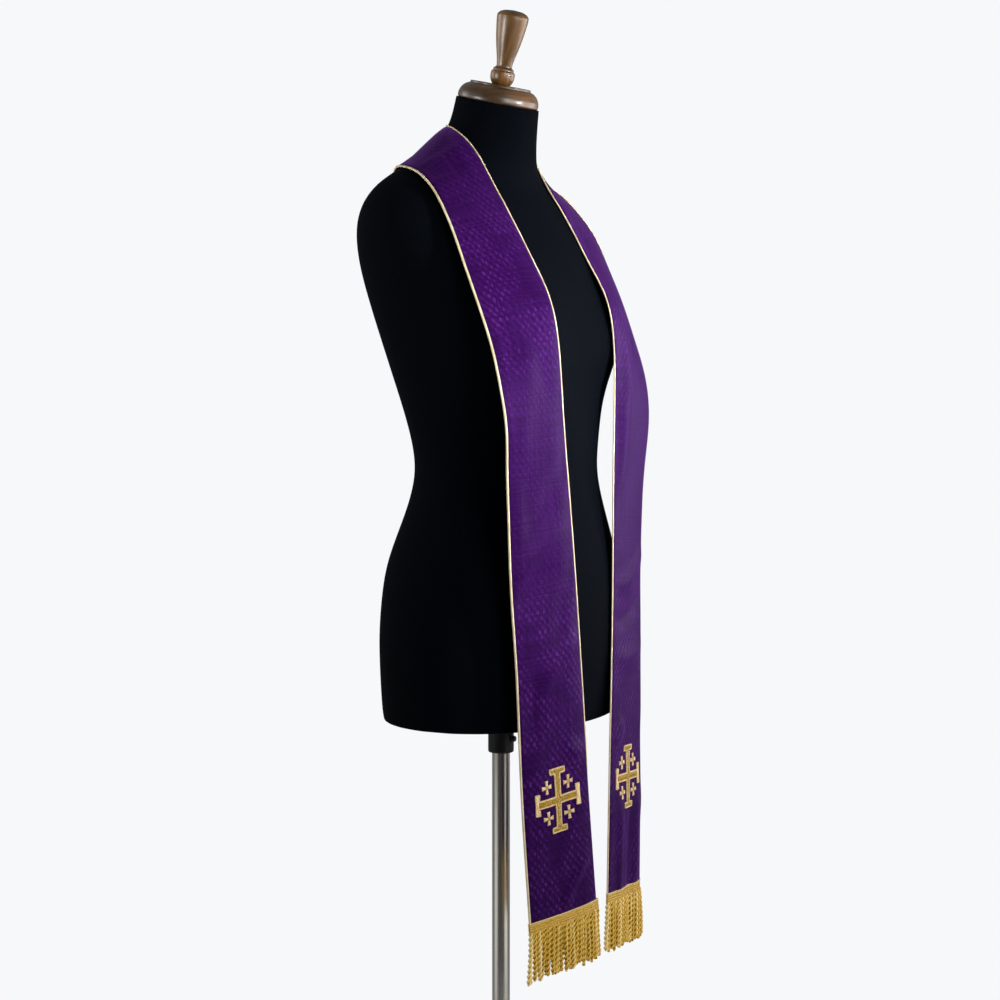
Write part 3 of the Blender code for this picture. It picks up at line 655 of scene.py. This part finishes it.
def tree_with(name, sockets):
    """A Geometry Nodes tree with a geometry input and output and these named inputs."""
    made = bpy.data.node_groups.new(name, "GeometryNodeTree")
    made.interface.new_socket("Geometry", in_out="INPUT", socket_type="NodeSocketGeometry")
    for socket, kind in sockets.items():
        made.interface.new_socket(socket, in_out="INPUT", socket_type="NodeSocket" + kind)
    made.interface.new_socket("Geometry", in_out="OUTPUT", socket_type="NodeSocketGeometry")
    return made, made.nodes.new("NodeGroupInput").outputs


def grown(name, lines, tree, values):
    """The plain mesh that a tree makes from lines of points, each given in metres."""
    host_mesh = bpy.data.meshes.new(name + "_lines")
    points, edges = [], []
    for line in lines:
        edges += [(len(points) + i, len(points) + i + 1) for i in range(len(line) - 1)]
        points += [tuple(point) for point in line]
    host_mesh.from_pydata(points, edges, [])
    host = bpy.data.objects.new(name + "_lines", host_mesh)
    bpy.context.scene.collection.objects.link(host)
    modifier = host.modifiers.new("Made", "NODES")
    modifier.node_group = tree
    for item in tree.interface.items_tree:
        if item.in_out == "INPUT" and item.name in values:
            modifier[item.identifier] = values[item.name]
    evaluated = host.evaluated_get(bpy.context.evaluated_depsgraph_get())
    mesh = bpy.data.meshes.new_from_object(evaluated)
    mesh.name = name
    host.modifiers.clear()
    bpy.data.objects.remove(host)
    return mesh


def ended(tree, geometry, material):
    """Ends a tree in real, smooth faces of a material."""
    smooth = add(tree, "GeometryNodeSetShadeSmooth", {"Geometry": geometry})
    real = add(tree, "GeometryNodeRealizeInstances", {"Geometry": smooth})
    finished = add(tree, "GeometryNodeSetMaterial", {"Geometry": real, "Material": material})
    add(tree, "NodeGroupOutput", {0: finished})
    return tree


def cord_tree():
    """Lays a cord of twisted plies, with its sizes in metres, along each line."""
    tree, given = tree_with("laid_cord", {
        "Radius": "Float", "Sides": "Int", "Plies": "Float", "Ply depth": "Float",
        "Twist length": "Float", "Finish": "Material",
    })
    line = add(tree, "GeometryNodeMeshToCurve", {0: given["Geometry"]})
    run = add(tree, "GeometryNodeSplineParameter").outputs
    turns = add(tree, "ShaderNodeMath", {0: run["Length"], 1: given["Twist length"]},
                operation="DIVIDE")
    tilt = add(tree, "ShaderNodeMath", {0: turns, 1: 2 * math.pi}, operation="MULTIPLY")
    twisted = add(tree, "GeometryNodeSetCurveTilt", {"Curve": line, "Tilt": tilt})
    circle = add(tree, "GeometryNodeCurvePrimitiveCircle", {
        "Resolution": given["Sides"], "Radius": given["Radius"],
    })
    lobe = add(tree, "ShaderNodeMath", {0: run["Factor"], 1: given["Plies"]},
               operation="MULTIPLY")
    lobe = add(tree, "ShaderNodeMath", {0: lobe, 1: 2 * math.pi}, operation="MULTIPLY")
    lobe = add(tree, "ShaderNodeMath", {0: lobe}, operation="COSINE")
    depth = add(tree, "ShaderNodeMath", {0: lobe, 1: given["Ply depth"]}, operation="MULTIPLY")
    place = add(tree, "GeometryNodeInputPosition")
    offset = add(tree, "ShaderNodeVectorMath", {0: place, "Scale": depth}, operation="SCALE")
    profile = add(tree, "GeometryNodeSetPosition", {"Geometry": circle, "Offset": offset})
    swept = add(tree, "GeometryNodeCurveToMesh", {
        "Curve": twisted, "Profile Curve": profile, "Fill Caps": True,
    })
    return ended(tree, swept, given["Finish"])


# Cream satin over cord: pale and glossy on the crown, with a fine slanting grain of the bias cut.
satin, tree, shader = surface("cream_gold_satin", {
    "Roughness": 0.32, "IOR": 1.5, "Specular Tint": linear("#FFF0D0"),
})
place = add(tree, "ShaderNodeTexCoord").outputs["Object"]
bias = add(tree, "ShaderNodeTexWave", {"Vector": place, "Scale": 190, "Distortion": 1.5},
           bands_direction="DIAGONAL").outputs["Fac"]
mottle = add(tree, "ShaderNodeTexNoise", {"Vector": place, "Scale": 60, "Detail": 3})
mixed = add(tree, "ShaderNodeMath", {0: bias, 1: 0.12, 2: mottle}, operation="MULTIPLY_ADD")
feed(shader, {
    "Base Color": add(tree, "ShaderNodeValToRGB", {"Fac": mixed},
                      stops=[(0.3, "#CBB58C"), (0.6, "#E1CFAB"), (0.9, "#F0E4CA")]),
    "Normal": add(tree, "ShaderNodeBump", {
        "Strength": 0.1, "Distance": 0.0002, "Height": bias}),
})

# Each edge's cord: (side of the middle, lift, radius). A covered cord is smooth, so its plies
# have no depth and its twist is too long to matter.
PIPING = {"inner": (-1, -0.5, 1.05), "outer": (1, 0, 1.4)}
TUCK_LENGTH = 190
TUCK_RUN = 60
TUCK_DEPTH = 1.9
laid_cord = cord_tree()
sewn_on = {side: [] for side in SIDES}
for side, side_name in SIDES.items():
    half = halves[side]
    along = np.linspace(0, half.length, round(half.length / GRID_STEP) + 1)
    out = np.interp(along, half.along, half.width) / 2 - CORD_RADIUS
    for edge_name, (direction, lift, radius) in PIPING.items():
        if side == -1 and edge_name == "inner":
            under = np.clip((along - half.length + TUCK_LENGTH) / TUCK_RUN, 0, 1)
            lift = lift - TUCK_DEPTH * under * under * (3 - 2 * under)
        mesh = grown(f"piping_cord_{side_name}_{edge_name}", [half.at(along, direction * out, lift)],
                     laid_cord, {"Radius": radius * MM, "Sides": 20, "Plies": 3.0,
                                 "Ply depth": 0.0, "Twist length": 100.0, "Finish": satin})
        sewn_on[side].append(piece_from(mesh, satin, "form",
                                        [f"piping_{side_name}_{edge_name}"]))


# ---------------------------------------------------------------- crosses
# A Jerusalem cross worked on each end: pads of satin stitch in gold rayon thread, laid across
# each bar and mitred where bars meet, inside a raised outline cord in a paler thread.

CROSS_ABOVE_HEM = 136
CROSS_ASIDE = {-1: 1.8, 1: -3.2}
CROSS_ARM = 9
CROSS_WIDTH = 76
CROSS_SPAN = 76.5
CROSS_BAR_LENGTH = 25
CROSS_BAR_WIDTH = 6.5
SMALL_CROSS_OFFSET = 18.4
SMALL_CROSS_SPAN = 16
SMALL_CROSS_ARM = 4.0
STITCH = 0.9
STITCH_RELIEF = 0.1
END_ROUNDING = 1.2
OUTLINE_RADIUS = 1.0
OUTLINE_STEP = 0.8
OUTLINE_LIFT = WALL / 2 + 0.5


def thread_finish(name, stops, roughness):
    """Rayon embroidery thread: glossy, with fine strands along the stitches."""
    made, tree, shader = surface(name, {
        "Roughness": roughness, "IOR": 1.5, "Specular Tint": linear("#FFE0A0"),
    })
    place = add(tree, "ShaderNodeTexCoord").outputs["Object"]
    strands = add(tree, "ShaderNodeTexNoise", {"Vector": place, "Scale": 600, "Detail": 3})
    colour = add(tree, "ShaderNodeValToRGB", {"Fac": strands}, stops=stops)
    bump = add(tree, "ShaderNodeBump", {"Strength": 0.5, "Distance": 0.0004, "Height": strands})
    feed(shader, {"Base Color": colour, "Normal": bump})
    return made, tree, shader, colour


gold_thread, *_ = thread_finish("gold_rayon_satin_stitch", [
    (0.36, "#6C510B"), (0.5, "#9B781D"), (0.66, "#C8A548")], 0.4)

# Pale rayon cord and stitch: nearly cream, and darker tan towards the middle of each small cross.
# On the side bars of the main cross this pale thread is also a painted sheen. It stands for the gold
# satin stitch, which looks paler there because its stitches lie at another angle to the light.
pale_thread_and_sheen, tree, shader, colour = thread_finish("pale_gold_rayon_cord_and_sheen", [
    (0.36, "#CBA268"), (0.5, "#E2C48E"), (0.66, "#F4E0B8")], 0.36)
cloth = add(tree, "ShaderNodeUVMap", uv_map="Cloth")
from_tip = add(tree, "ShaderNodeSeparateXYZ", {0: cloth}).outputs["X"]
# Darker tan towards the middle of each small cross, where the pads dip.
hollow = add(tree, "ShaderNodeMapRange", {
    "Value": from_tip, "From Min": -0.0042, "From Max": -0.0068, "To Min": 0.0, "To Max": 0.75,
}, interpolation_type="SMOOTHSTEP")
feed(shader, {"Base Color": add(tree, "ShaderNodeMix", {
    "Factor": hollow, 6: colour, 7: linear("#A87C44")}, data_type="RGBA")})


def pad(half, centre, turn, start, length, half_width, height, point=0, bluntness=1, swell=0):
    """Front, back and flat grids of a pad of satin stitches along a bar.

    The bar runs from its start for its length in the direction turn from the stole's length. It
    narrows over the length point at its start, if it has one, to a mitre where bluntness is 1 and
    a rounder end where it is less, and swells by a share towards its free ends.
    """
    run = np.linspace(0, length, round(length / STITCH * 4) + 1)
    over = np.sin(np.linspace(-np.pi / 2, np.pi / 2, 11))
    narrow = np.minimum(1, (run + 0.05) / point) ** bluntness if point else np.ones(len(run))
    ends = np.minimum(1, np.sqrt(np.clip((length - run) / END_ROUNDING + 0.05, 0, 1)))
    if not point:
        ends = ends * np.minimum(1, np.sqrt(np.clip(run / END_ROUNDING + 0.05, 0, 1)))
    a = np.broadcast_to((start + run)[:, None], (len(run), len(over)))
    outwards = run / length if point else 2 * run / length - 1
    b = half_width * (narrow * (1 + swell * outwards ** 2))[:, None] * over
    along = half.length - CROSS_ABOVE_HEM - centre[1] - (a * math.cos(turn) - b * math.sin(turn))
    sideways = CROSS_ASIDE[half.side] + centre[0] + a * math.sin(turn) + b * math.cos(turn)
    dome = np.sqrt(1 - over ** 2) * narrow[:, None] * ends[:, None]
    ribs = STITCH_RELIEF * np.cos(2 * np.pi * run / STITCH)[:, None] * dome
    front = half.at(along, sideways, WALL / 2 + 0.15 + height * dome + ribs)
    back = half.at(along, sideways, WALL / 2 - 0.1)
    return front, back, np.stack([a - start - length, b], -1)


def joined(name, meshes):
    """One mesh of several."""
    bm = bmesh.new()
    for mesh in meshes:
        bm.from_mesh(mesh)
    made = bpy.data.meshes.new(name)
    bm.to_mesh(made)
    bm.free()
    made.shade_smooth()
    return made


def outline(half, corners):
    """The closed line of a cross's outline on the cloth, from corners (sideways, up)."""
    loop = [np.array(corner, float) for corner in corners]
    line = []
    for here, there in zip(loop, loop[1:] + loop[:1]):
        steps = max(2, round(np.linalg.norm(there - here) / OUTLINE_STEP))
        line += [here + (there - here) * step / steps for step in range(steps)]
    line = np.array(line + line[:1])
    return half.at(half.length - CROSS_ABOVE_HEM - line[:, 1],
                   line[:, 0] + CROSS_ASIDE[half.side], OUTLINE_LIFT)


# The pads lie inside the outline by an inset. The arms are mitred where they meet, apart from the
# lower one, which is laid over the others. The side bars flare towards their ends.
ARM_INSET = 0.6
BAR_INSET = 0.5
BAR_FLARE = 0.7
for side, side_name in SIDES.items():
    half = halves[side]
    arm, bar = CROSS_ARM / 2 - ARM_INSET, CROSS_BAR_LENGTH / 2 - BAR_INSET
    gold_pads, pale_and_sheen_pads, corners = [], [], []
    for quarter in range(4):
        turn = quarter * math.pi / 2
        span = (CROSS_WIDTH if quarter % 2 else CROSS_SPAN) / 2
        bar_start = span - CROSS_BAR_WIDTH
        flare = BAR_FLARE * (quarter % 2)
        if quarter == 2:
            gold_pads.append(pad(half, (0, 0), turn, start=-2.4, length=bar_start + 2.8,
                                 half_width=arm, height=1.0, point=4, bluntness=0.45))
        else:
            gold_pads.append(pad(half, (0, 0), turn, start=0, length=bar_start + 0.4,
                                 half_width=arm, height=0.8, point=arm))
        middle = span - CROSS_BAR_WIDTH / 2
        front, back, flat = pad(
            half, (math.sin(turn) * middle, math.cos(turn) * middle), turn + math.pi / 2,
            start=-bar, length=2 * bar, half_width=CROSS_BAR_WIDTH / 2 - BAR_INSET - flare / 2,
            height=0.7 + 0.6 * flare, swell=0.45 * flare)
        # The side bars take the pale thread as a painted sheen of the gold satin stitch, and the other
        # bars take the gold.
        (pale_and_sheen_pads if quarter % 2 else gold_pads).append((front, back, np.abs(flat)))
        inner, outer = bar_start + 0.3, span - BAR_INSET
        for x, y in (
            (-arm - 0.2, arm + 0.2), (-arm - 0.2, inner + flare), (-bar, inner - flare),
            (-bar, outer), (0, outer - flare), (bar, outer), (bar, inner - flare),
            (arm + 0.2, inner + flare),
        ):
            for _ in range(quarter):
                x, y = y, -x
            corners.append((x, y))
    for across, up in ((-1, 1), (1, 1), (-1, -1), (1, -1)):
        centre = (across * SMALL_CROSS_OFFSET, up * SMALL_CROSS_OFFSET)
        for quarter in range(4):
            pale_and_sheen_pads.append(pad(
                half, centre, quarter * math.pi / 2, start=0, length=SMALL_CROSS_SPAN / 2,
                half_width=SMALL_CROSS_ARM / 2 - 0.4, height=1.0, point=SMALL_CROSS_ARM / 2,
                swell=0.65))
    cord = grown(f"outline_cord_{side_name}", [outline(half, corners)], laid_cord, {
        "Radius": OUTLINE_RADIUS * MM, "Sides": 10, "Plies": 2.0, "Ply depth": 0.14,
        "Twist length": 0.004, "Finish": pale_thread_and_sheen,
    })
    for stitch, finish, pads, cords, crosses in (
        ("satin_stitch", gold_thread, gold_pads, [], ("main",)),
        ("pale_stitch_and_sheen", pale_thread_and_sheen, pale_and_sheen_pads, [cord],
         ("upper_inner", "upper_outer", "lower_inner", "lower_outer")),
    ):
        mesh = joined(f"{stitch}_{side_name}", [
            shell(f"pad_{i}", *grids) for i, grids in enumerate(pads)] + cords)
        sewn_on[side].append(piece_from(mesh, finish, "form", [
            f"cross_{side_name}_{cross}" for cross in crosses]))


# ---------------------------------------------------------------- fringe
# Bullion fringe in gold rayon: a woven header that is sewn along the hem, with a paler cord along
# its top, and a dense row of thick strands of two plies that hang from it and end in loops.

HEADER_HEIGHT = 13
TOP_CORD = 1.5
HEADER_RIBS = 4
RIB_HEIGHT = (HEADER_HEIGHT - TOP_CORD) / HEADER_RIBS
HEADER_WALL = 0.75
HEADER_STEP = 0.45
HEADER_THREAD = 2.0
THREAD_RELIEF = 0.14
STRANDS = 36
STRAND_LENGTH = 58
STRAND_TWIST = 12.4
STRAND_SPLAY = 4.5
STRAND_SWAY = 1.8
PLY_RADIUS = 1.5
PLY_OFFSET = 0.86
SEEDS = {-1: 20, 1: 60}


def fringe_tree():
    """Hangs strands of two twisted plies, with sizes in metres, from a line."""
    tree, given = tree_with("hung_strands", {
        "Strands": "Int", "Length": "Float", "Ply radius": "Float", "Twist length": "Float",
        "Splay": "Float", "Sway": "Float", "Outwards": "Vector", "Along hem": "Vector",
        "Seed": "Int", "Finish": "Material",
    })
    line = add(tree, "GeometryNodeMeshToCurve", {0: given["Geometry"]})
    roots = add(tree, "GeometryNodeCurveToPoints", {"Curve": line, "Count": given["Strands"]})
    index = add(tree, "GeometryNodeInputIndex")
    roots = add(tree, "GeometryNodeStoreNamedAttribute", {
        "Geometry": roots, "Name": "strand", "Value": index,
    }, data_type="INT", domain="POINT")
    strand = add(tree, "GeometryNodeInputNamedAttribute", {"Name": "strand"}, data_type="INT")
    run = add(tree, "GeometryNodeSplineParameter").outputs
    value = {"strand": strand, "down": run["Factor"]}

    # What differs from strand to strand, each by its own seed.
    for salt, (what, low, high) in enumerate((
        ("length", 0.92, 1.05), ("lean", -1.0, 1.0), ("waves", 2.5, 6.0), ("phase", 0.0, 6.28),
        ("proud", -1.0, 1.0), ("twist", 0.0, 6.28), ("girth", 0.88, 1.12), ("shade", 0.0, 1.0),
    )):
        seed = add(tree, "ShaderNodeMath", {0: given["Seed"], 1: salt}, operation="ADD")
        value[what] = add(tree, "FunctionNodeRandomValue", {
            2: low, 3: high, 7: strand, 8: seed,
        }, data_type="FLOAT")

    # Each value comes from those above it. The row spreads towards its ends, every strand leans
    # and waves a little, and every other one hangs a little behind. A strand turns along its
    # length, and its profile is two round plies side by side.
    for what, operation, *operands in (
        ("long", "MULTIPLY", given["Length"], "length"),
        ("last", "SUBTRACT", given["Strands"], 1.0),
        ("share", "DIVIDE", "strand", "last"),
        ("share", "MULTIPLY_ADD", "share", 2.0, -1.0),
        ("spread", "POWER", "share", 2.0),
        ("spread", "MULTIPLY", "spread", "share"),
        ("spread", "MULTIPLY", "spread", given["Splay"]),
        ("lean", "MULTIPLY_ADD", "lean", given["Sway"], "spread"),
        ("wave", "MULTIPLY_ADD", "down", "waves", "phase"),
        ("wave", "SINE", "wave"),
        ("wave", "MULTIPLY", "wave", given["Sway"]),
        ("aside", "MULTIPLY_ADD", "wave", 0.9, "lean"),
        ("aside", "MULTIPLY", "aside", "down"),
        ("behind", "MODULO", "strand", 2.0),
        ("behind", "MULTIPLY_ADD", "behind", 1.2, -0.6),
        ("behind", "MULTIPLY_ADD", "proud", 0.5, "behind"),
        ("hollow", "MULTIPLY", "down", 2.2),
        ("hollow", "SINE", "hollow"),
        ("proud", "MULTIPLY", "behind", "hollow"),
        ("proud", "MULTIPLY", "proud", given["Sway"]),
        ("turns", "DIVIDE", run["Length"], given["Twist length"]),
        ("tilt", "MULTIPLY_ADD", "turns", 2 * math.pi, "twist"),
        ("angle", "MULTIPLY", run["Factor"], 2 * math.pi),
        ("crown", "COSINE", "angle"),
        ("crown", "ABSOLUTE", "crown"),
        ("chord", "SINE", "angle"),
        ("chord", "MULTIPLY", "chord", PLY_OFFSET),
        ("chord", "MULTIPLY", "chord", "chord"),
        ("chord", "SUBTRACT", 1.0, "chord"),
        ("chord", "SQRT", "chord"),
        ("reach", "MULTIPLY_ADD", "crown", PLY_OFFSET, "chord"),
    ):
        value[what] = add(tree, "ShaderNodeMath", {
            i: value[operand] if isinstance(operand, str) else operand
            for i, operand in enumerate(operands)
        }, operation=operation)

    # A plumb line at each root, as long as its strand, and bent as it hangs.
    scale = add(tree, "ShaderNodeCombineXYZ", {"X": 1.0, "Y": 1.0, "Z": value["long"]})
    plumb = add(tree, "GeometryNodeCurvePrimitiveLine", {"Start": (0, 0, 0), "End": (0, 0, -1)})
    plumb = add(tree, "GeometryNodeResampleCurve", {"Curve": plumb, "Count": 66})
    hung = add(tree, "GeometryNodeInstanceOnPoints", {
        "Points": roots, "Instance": plumb, "Scale": scale,
    })
    hung = add(tree, "GeometryNodeRealizeInstances", {"Geometry": hung})
    offsets = [
        add(tree, "ShaderNodeVectorMath", {0: given[way], "Scale": value[what]}, operation="SCALE")
        for way, what in (("Along hem", "aside"), ("Outwards", "proud"))
    ]
    offset = add(tree, "ShaderNodeVectorMath", dict(enumerate(offsets)), operation="ADD")
    bent = add(tree, "GeometryNodeSetPosition", {"Geometry": hung, "Offset": offset})
    twisted = add(tree, "GeometryNodeSetCurveTilt", {"Curve": bent, "Tilt": value["tilt"]})

    # The strand is thinner at its root and at the loop that ends it.
    loop = add(tree, "ShaderNodeFloatCurve", {"Value": value["down"]})
    points = loop.mapping.curves[0].points
    points[0].location, points[1].location = (0, 0.8), (1, 0.2)
    for place in ((0.04, 0.95), (0.9, 1.0), (0.965, 0.95), (0.988, 0.7)):
        points.new(*place)
    loop.mapping.update()
    thick = add(tree, "ShaderNodeMath", {0: loop, 1: value["girth"]}, operation="MULTIPLY")
    circle = add(tree, "GeometryNodeCurvePrimitiveCircle", {
        "Resolution": 16, "Radius": given["Ply radius"],
    })
    place = add(tree, "GeometryNodeInputPosition")
    place = add(tree, "ShaderNodeVectorMath", {0: place, "Scale": value["reach"]},
                operation="SCALE")
    plies = add(tree, "GeometryNodeSetPosition", {"Geometry": circle, "Position": place})
    # The crown of each ply is stored for the finish, which paints shade where the plies meet and a
    # lighter tone on their crowns.
    plies = add(tree, "GeometryNodeStoreNamedAttribute", {
        "Geometry": plies, "Name": "crown", "Value": value["crown"],
    }, data_type="FLOAT", domain="POINT")
    swept = add(tree, "GeometryNodeCurveToMesh", {
        "Curve": twisted, "Profile Curve": plies, "Scale": thick, "Fill Caps": True,
    })
    shaded = add(tree, "GeometryNodeStoreNamedAttribute", {
        "Geometry": swept, "Name": "shade", "Value": value["shade"],
    }, data_type="FLOAT", domain="POINT")
    return ended(tree, shaded, given["Finish"])


# Gold rayon bullion: glossy twisted yarn, with painted shade where two plies meet and a painted lighter
# tone on their crowns. A few strands are much paler than the rest.
bullion, tree, shader = surface("gold_rayon_bullion", {
    "Roughness": 0.32, "IOR": 1.5, "Specular IOR Level": 0.7, "Specular Tint": linear("#FFD284"),
})
place = add(tree, "ShaderNodeTexCoord").outputs["Object"]
own = add(tree, "ShaderNodeAttribute", attribute_name="shade").outputs["Fac"]
crown = add(tree, "ShaderNodeAttribute", attribute_name="crown").outputs["Fac"]
yarn = add(tree, "ShaderNodeTexNoise", {"Vector": place, "Scale": 420, "Detail": 3})
tone = add(tree, "ShaderNodeMapRange", {
    "Value": own, "From Min": 0.78, "From Max": 0.95, "To Min": 0.0, "To Max": 0.3})
# Painted shade where the plies meet and a painted lighter tone on their crowns, from the crown of each
# ply.
for source, weight in ((own, 0.12), (crown, 0.5), (yarn, 0.3)):
    tone = add(tree, "ShaderNodeMath", {0: source, 1: weight, 2: tone}, operation="MULTIPLY_ADD")
feed(shader, {
    "Base Color": add(tree, "ShaderNodeValToRGB", {"Fac": tone}, stops=[
        (0.12, "#422C01"), (0.4, "#B18413"), (0.66, "#E0B846"), (0.95, "#FFEAAC")]),
    "Normal": add(tree, "ShaderNodeBump", {
        "Strength": 0.4, "Distance": 0.0003, "Height": yarn}),
})

# Woven rayon header: the same thread laid close along its ribs, so its gloss is soft, with painted shade
# in the grooves between the ribs and a nearly cream cord along the top.
braid, tree, shader, colour = thread_finish("gold_rayon_braid", [
    (0.36, "#B48622"), (0.5, "#CDA23C"), (0.66, "#E2BC60")], 0.42)
cloth = add(tree, "ShaderNodeUVMap", uv_map="Cloth")
from_top = add(tree, "ShaderNodeSeparateXYZ", {0: cloth}).outputs["Y"]
groove_shade = add(tree, "ShaderNodeMath", {
    0: from_top, 1: 2 * math.pi / (RIB_HEIGHT * MM), 2: -2 * math.pi * TOP_CORD / RIB_HEIGHT,
}, operation="MULTIPLY_ADD")
groove_shade = add(tree, "ShaderNodeMath", {0: groove_shade}, operation="COSINE")
groove_shade = add(tree, "ShaderNodeMapRange", {
    "Value": groove_shade, "From Min": 0.2, "From Max": 1.0, "To Min": 0.0, "To Max": 0.6})
top = add(tree, "ShaderNodeMapRange", {
    "Value": from_top, "From Min": TOP_CORD * MM, "From Max": (TOP_CORD - 0.6) * MM,
    "To Min": 0.0, "To Max": 1.0,
})
# Painted shade in the grooves between the ribs, and the cream cord along the top.
for share, hex_colour in ((groove_shade, "#8F6A1C"), (top, "#EACF94")):
    colour = add(tree, "ShaderNodeMix", {
        "Factor": share, 6: colour, 7: linear(hex_colour)}, data_type="RGBA")
feed(shader, {"Base Color": colour})

hung_strands = fringe_tree()
for side, side_name in SIDES.items():
    half = halves[side]
    width = half.width[-1] + 0.8
    across = np.linspace(-width / 2, width / 2, round(width / HEADER_STEP) + 1)
    hem = half.at(half.length, across) / MM
    down = half.at(half.length, 0.0) - half.at(half.length - 40, 0.0)
    down /= np.linalg.norm(down)
    normal = half.normals[-1, GRID_COLUMNS // 2] * (side, 1, 1)
    fallen = np.concatenate([np.linspace(0, TOP_CORD, 9)[:-1],
                             np.linspace(TOP_CORD, HEADER_HEIGHT, HEADER_RIBS * 8 + 1)])
    in_cord = fallen < TOP_CORD
    rib = np.where(in_cord, fallen / TOP_CORD, (fallen - TOP_CORD) / RIB_HEIGHT)
    bulge = np.where(in_cord, 1.0, 0.6) * np.sqrt(np.abs(np.sin(np.pi * rib)))
    slant = np.where(rib.astype(int) % 2 == 0, 1, -1) * (rib % 1 - 0.5) * 1.6
    laid = THREAD_RELIEF * np.cos(2 * np.pi * (across + slant[:, None]) / HEADER_THREAD)
    lift = (HEADER_WALL + bulge[:, None] + laid)[..., None]
    spine = hem + down * (fallen - 0.4)[:, None, None]
    flat = np.stack(np.broadcast_arrays(across, fallen[:, None]), -1)
    mesh = shell(f"header_braid_{side_name}", (spine + normal * lift) * MM,
                 (spine - normal * lift) * MM, flat)
    header = piece_from(mesh, braid, "form", [])
    roots = (hem[4:-4] + down * (HEADER_HEIGHT - 2)) * MM
    hem_run = (hem[-1] - hem[0]) / np.linalg.norm(hem[-1] - hem[0])
    mesh = grown(f"bullion_fringe_{side_name}", [roots], hung_strands, {
        "Strands": STRANDS, "Length": (STRAND_LENGTH + 2) * MM, "Ply radius": PLY_RADIUS * MM,
        "Twist length": STRAND_TWIST * MM, "Splay": STRAND_SPLAY * MM, "Sway": STRAND_SWAY * MM,
        "Outwards": tuple(normal), "Along hem": tuple(hem_run), "Seed": SEEDS[side],
        "Finish": bullion,
    })
    strands = piece_from(mesh, bullion, "form", [f"fringe_{side_name}"])
    sewn_on[side] += [header, strands]


# ---------------------------------------------------------------- studio
# A plain pale floor and plain soft light: a large soft box in front, a narrow one on the chest,
# one on the form's left, one at its back, a dim one on the cap and the finial, two strips that the
# pole reflects, and a white surround.

scene = bpy.context.scene
scene.view_settings.view_transform = "Standard"

floor_finish, tree, shader = surface("pale_studio_floor", {
    "Roughness": 0.8, "Emission Color": linear("#F2F3F5"), "Emission Strength": 0.25,
})
place = add(tree, "ShaderNodeTexCoord").outputs["Object"]
grain = add(tree, "ShaderNodeTexNoise", {"Vector": place, "Scale": 40, "Detail": 2})
away = add(tree, "ShaderNodeVectorMath", {0: place}, operation="LENGTH")
feed(shader, {
    "Base Color": add(tree, "ShaderNodeValToRGB", {"Fac": grain},
                      stops=[(0.3, "#F1F2F3"), (0.7, "#F5F6F7")]),
    "Alpha": add(tree, "ShaderNodeMapRange", {
        "Value": away, "From Min": 0.3, "From Max": 1.05, "To Min": 1.0, "To Max": 0.0,
    }, interpolation_type="SMOOTHSTEP"),
})
floor = turned("studio_floor", [(0, -2, 0), (1100, -2, 0), (1100, -0.5, 0), (0, -0.5, 0)], 96)
floor.materials.append(floor_finish)
floor = bpy.data.objects.new("studio_floor", floor)
scene.collection.objects.link(floor)

# The surround is white to look at. As a light it is dim, and dimmest on the camera's side.
world = bpy.data.worlds.new("studio")
scene.world = world
world.use_nodes = True
tree = world.node_tree
heading = add(tree, "ShaderNodeTexCoord").outputs["Generated"]
facing = add(tree, "ShaderNodeVectorMath", {0: heading, 1: (-0.829, -0.559, 0)},
             operation="DOT_PRODUCT")
dim = add(tree, "ShaderNodeMapRange", {
    "Value": facing, "From Min": 0.2, "From Max": 0.97, "To Min": 0.22, "To Max": 0.05,
}, interpolation_type="SMOOTHSTEP")
seen = add(tree, "ShaderNodeLightPath").outputs["Is Camera Ray"]
feed(tree.nodes["Background"], {
    "Color": linear("#F7F8FA"),
    "Strength": add(tree, "ShaderNodeMapRange", {"Value": seen, "To Min": dim, "To Max": 1.0}),
})


def soft_box(name, place, target, size, power, spread):
    """An area light that faces a target and whose grid narrows it to a spread in degrees."""
    light = bpy.data.lights.new(name, "AREA")
    light.shape = "RECTANGLE"
    light.size, light.size_y = size
    light.energy = power
    light.spread = math.radians(spread)
    made = bpy.data.objects.new(name, light)
    made.location = place
    made.rotation_euler = (Vector(target) - Vector(place)).to_track_quat("-Z", "Y").to_euler()
    made.visible_camera = False
    scene.collection.objects.link(made)


soft_box("key", (-1.1, -2.3, 1.6), (0, -0.05, 0.85), (0.9, 1.2), 20, 150)
soft_box("chest", (0.3, -2.2, 1.4), (0.0, -0.1, 1.14), (0.3, 0.3), 2.6, 27)
soft_box("side", (1.7, -1.3, 1.15), (0, 0, 0.95), (1.5, 1.1), 9.5, 120)
soft_box("back", (-0.7, 2.5, 1.7), (0, 0, 1.1), (1.2, 1.6), 10, 140)
soft_box("left", (-1.5, 0.75, 1.3), (0, 0, 1.52), (0.5, 0.8), 1.0, 40)
soft_box("strip_front", (0.25, -1.2, 0.2), (0, 0, 0.3), (1.1, 0.36), 0.6, 120)
soft_box("strip_left", (-0.95, 0.6, 0.2), (0, 0, 0.3), (0.9, 0.36), 0.36, 120)

CAMERA_AZIMUTH = math.radians(56)
CAMERA_DISTANCE = 2.65
CAMERA_HEIGHT = 1.1866
CAMERA_PITCH = math.radians(4.606)
camera_data = bpy.data.cameras.new("camera")
camera_data.sensor_width = 36
camera_data.lens = 78.19
camera_data.shift_x = -0.001
camera_data.shift_y = 0.0005
camera = bpy.data.objects.new("camera", camera_data)
camera.location = (-math.sin(CAMERA_AZIMUTH) * CAMERA_DISTANCE,
                   -math.cos(CAMERA_AZIMUTH) * CAMERA_DISTANCE, CAMERA_HEIGHT)
camera.rotation_euler = (math.radians(90) - CAMERA_PITCH, 0, -CAMERA_AZIMUTH)
scene.collection.objects.link(camera)
scene.camera = camera
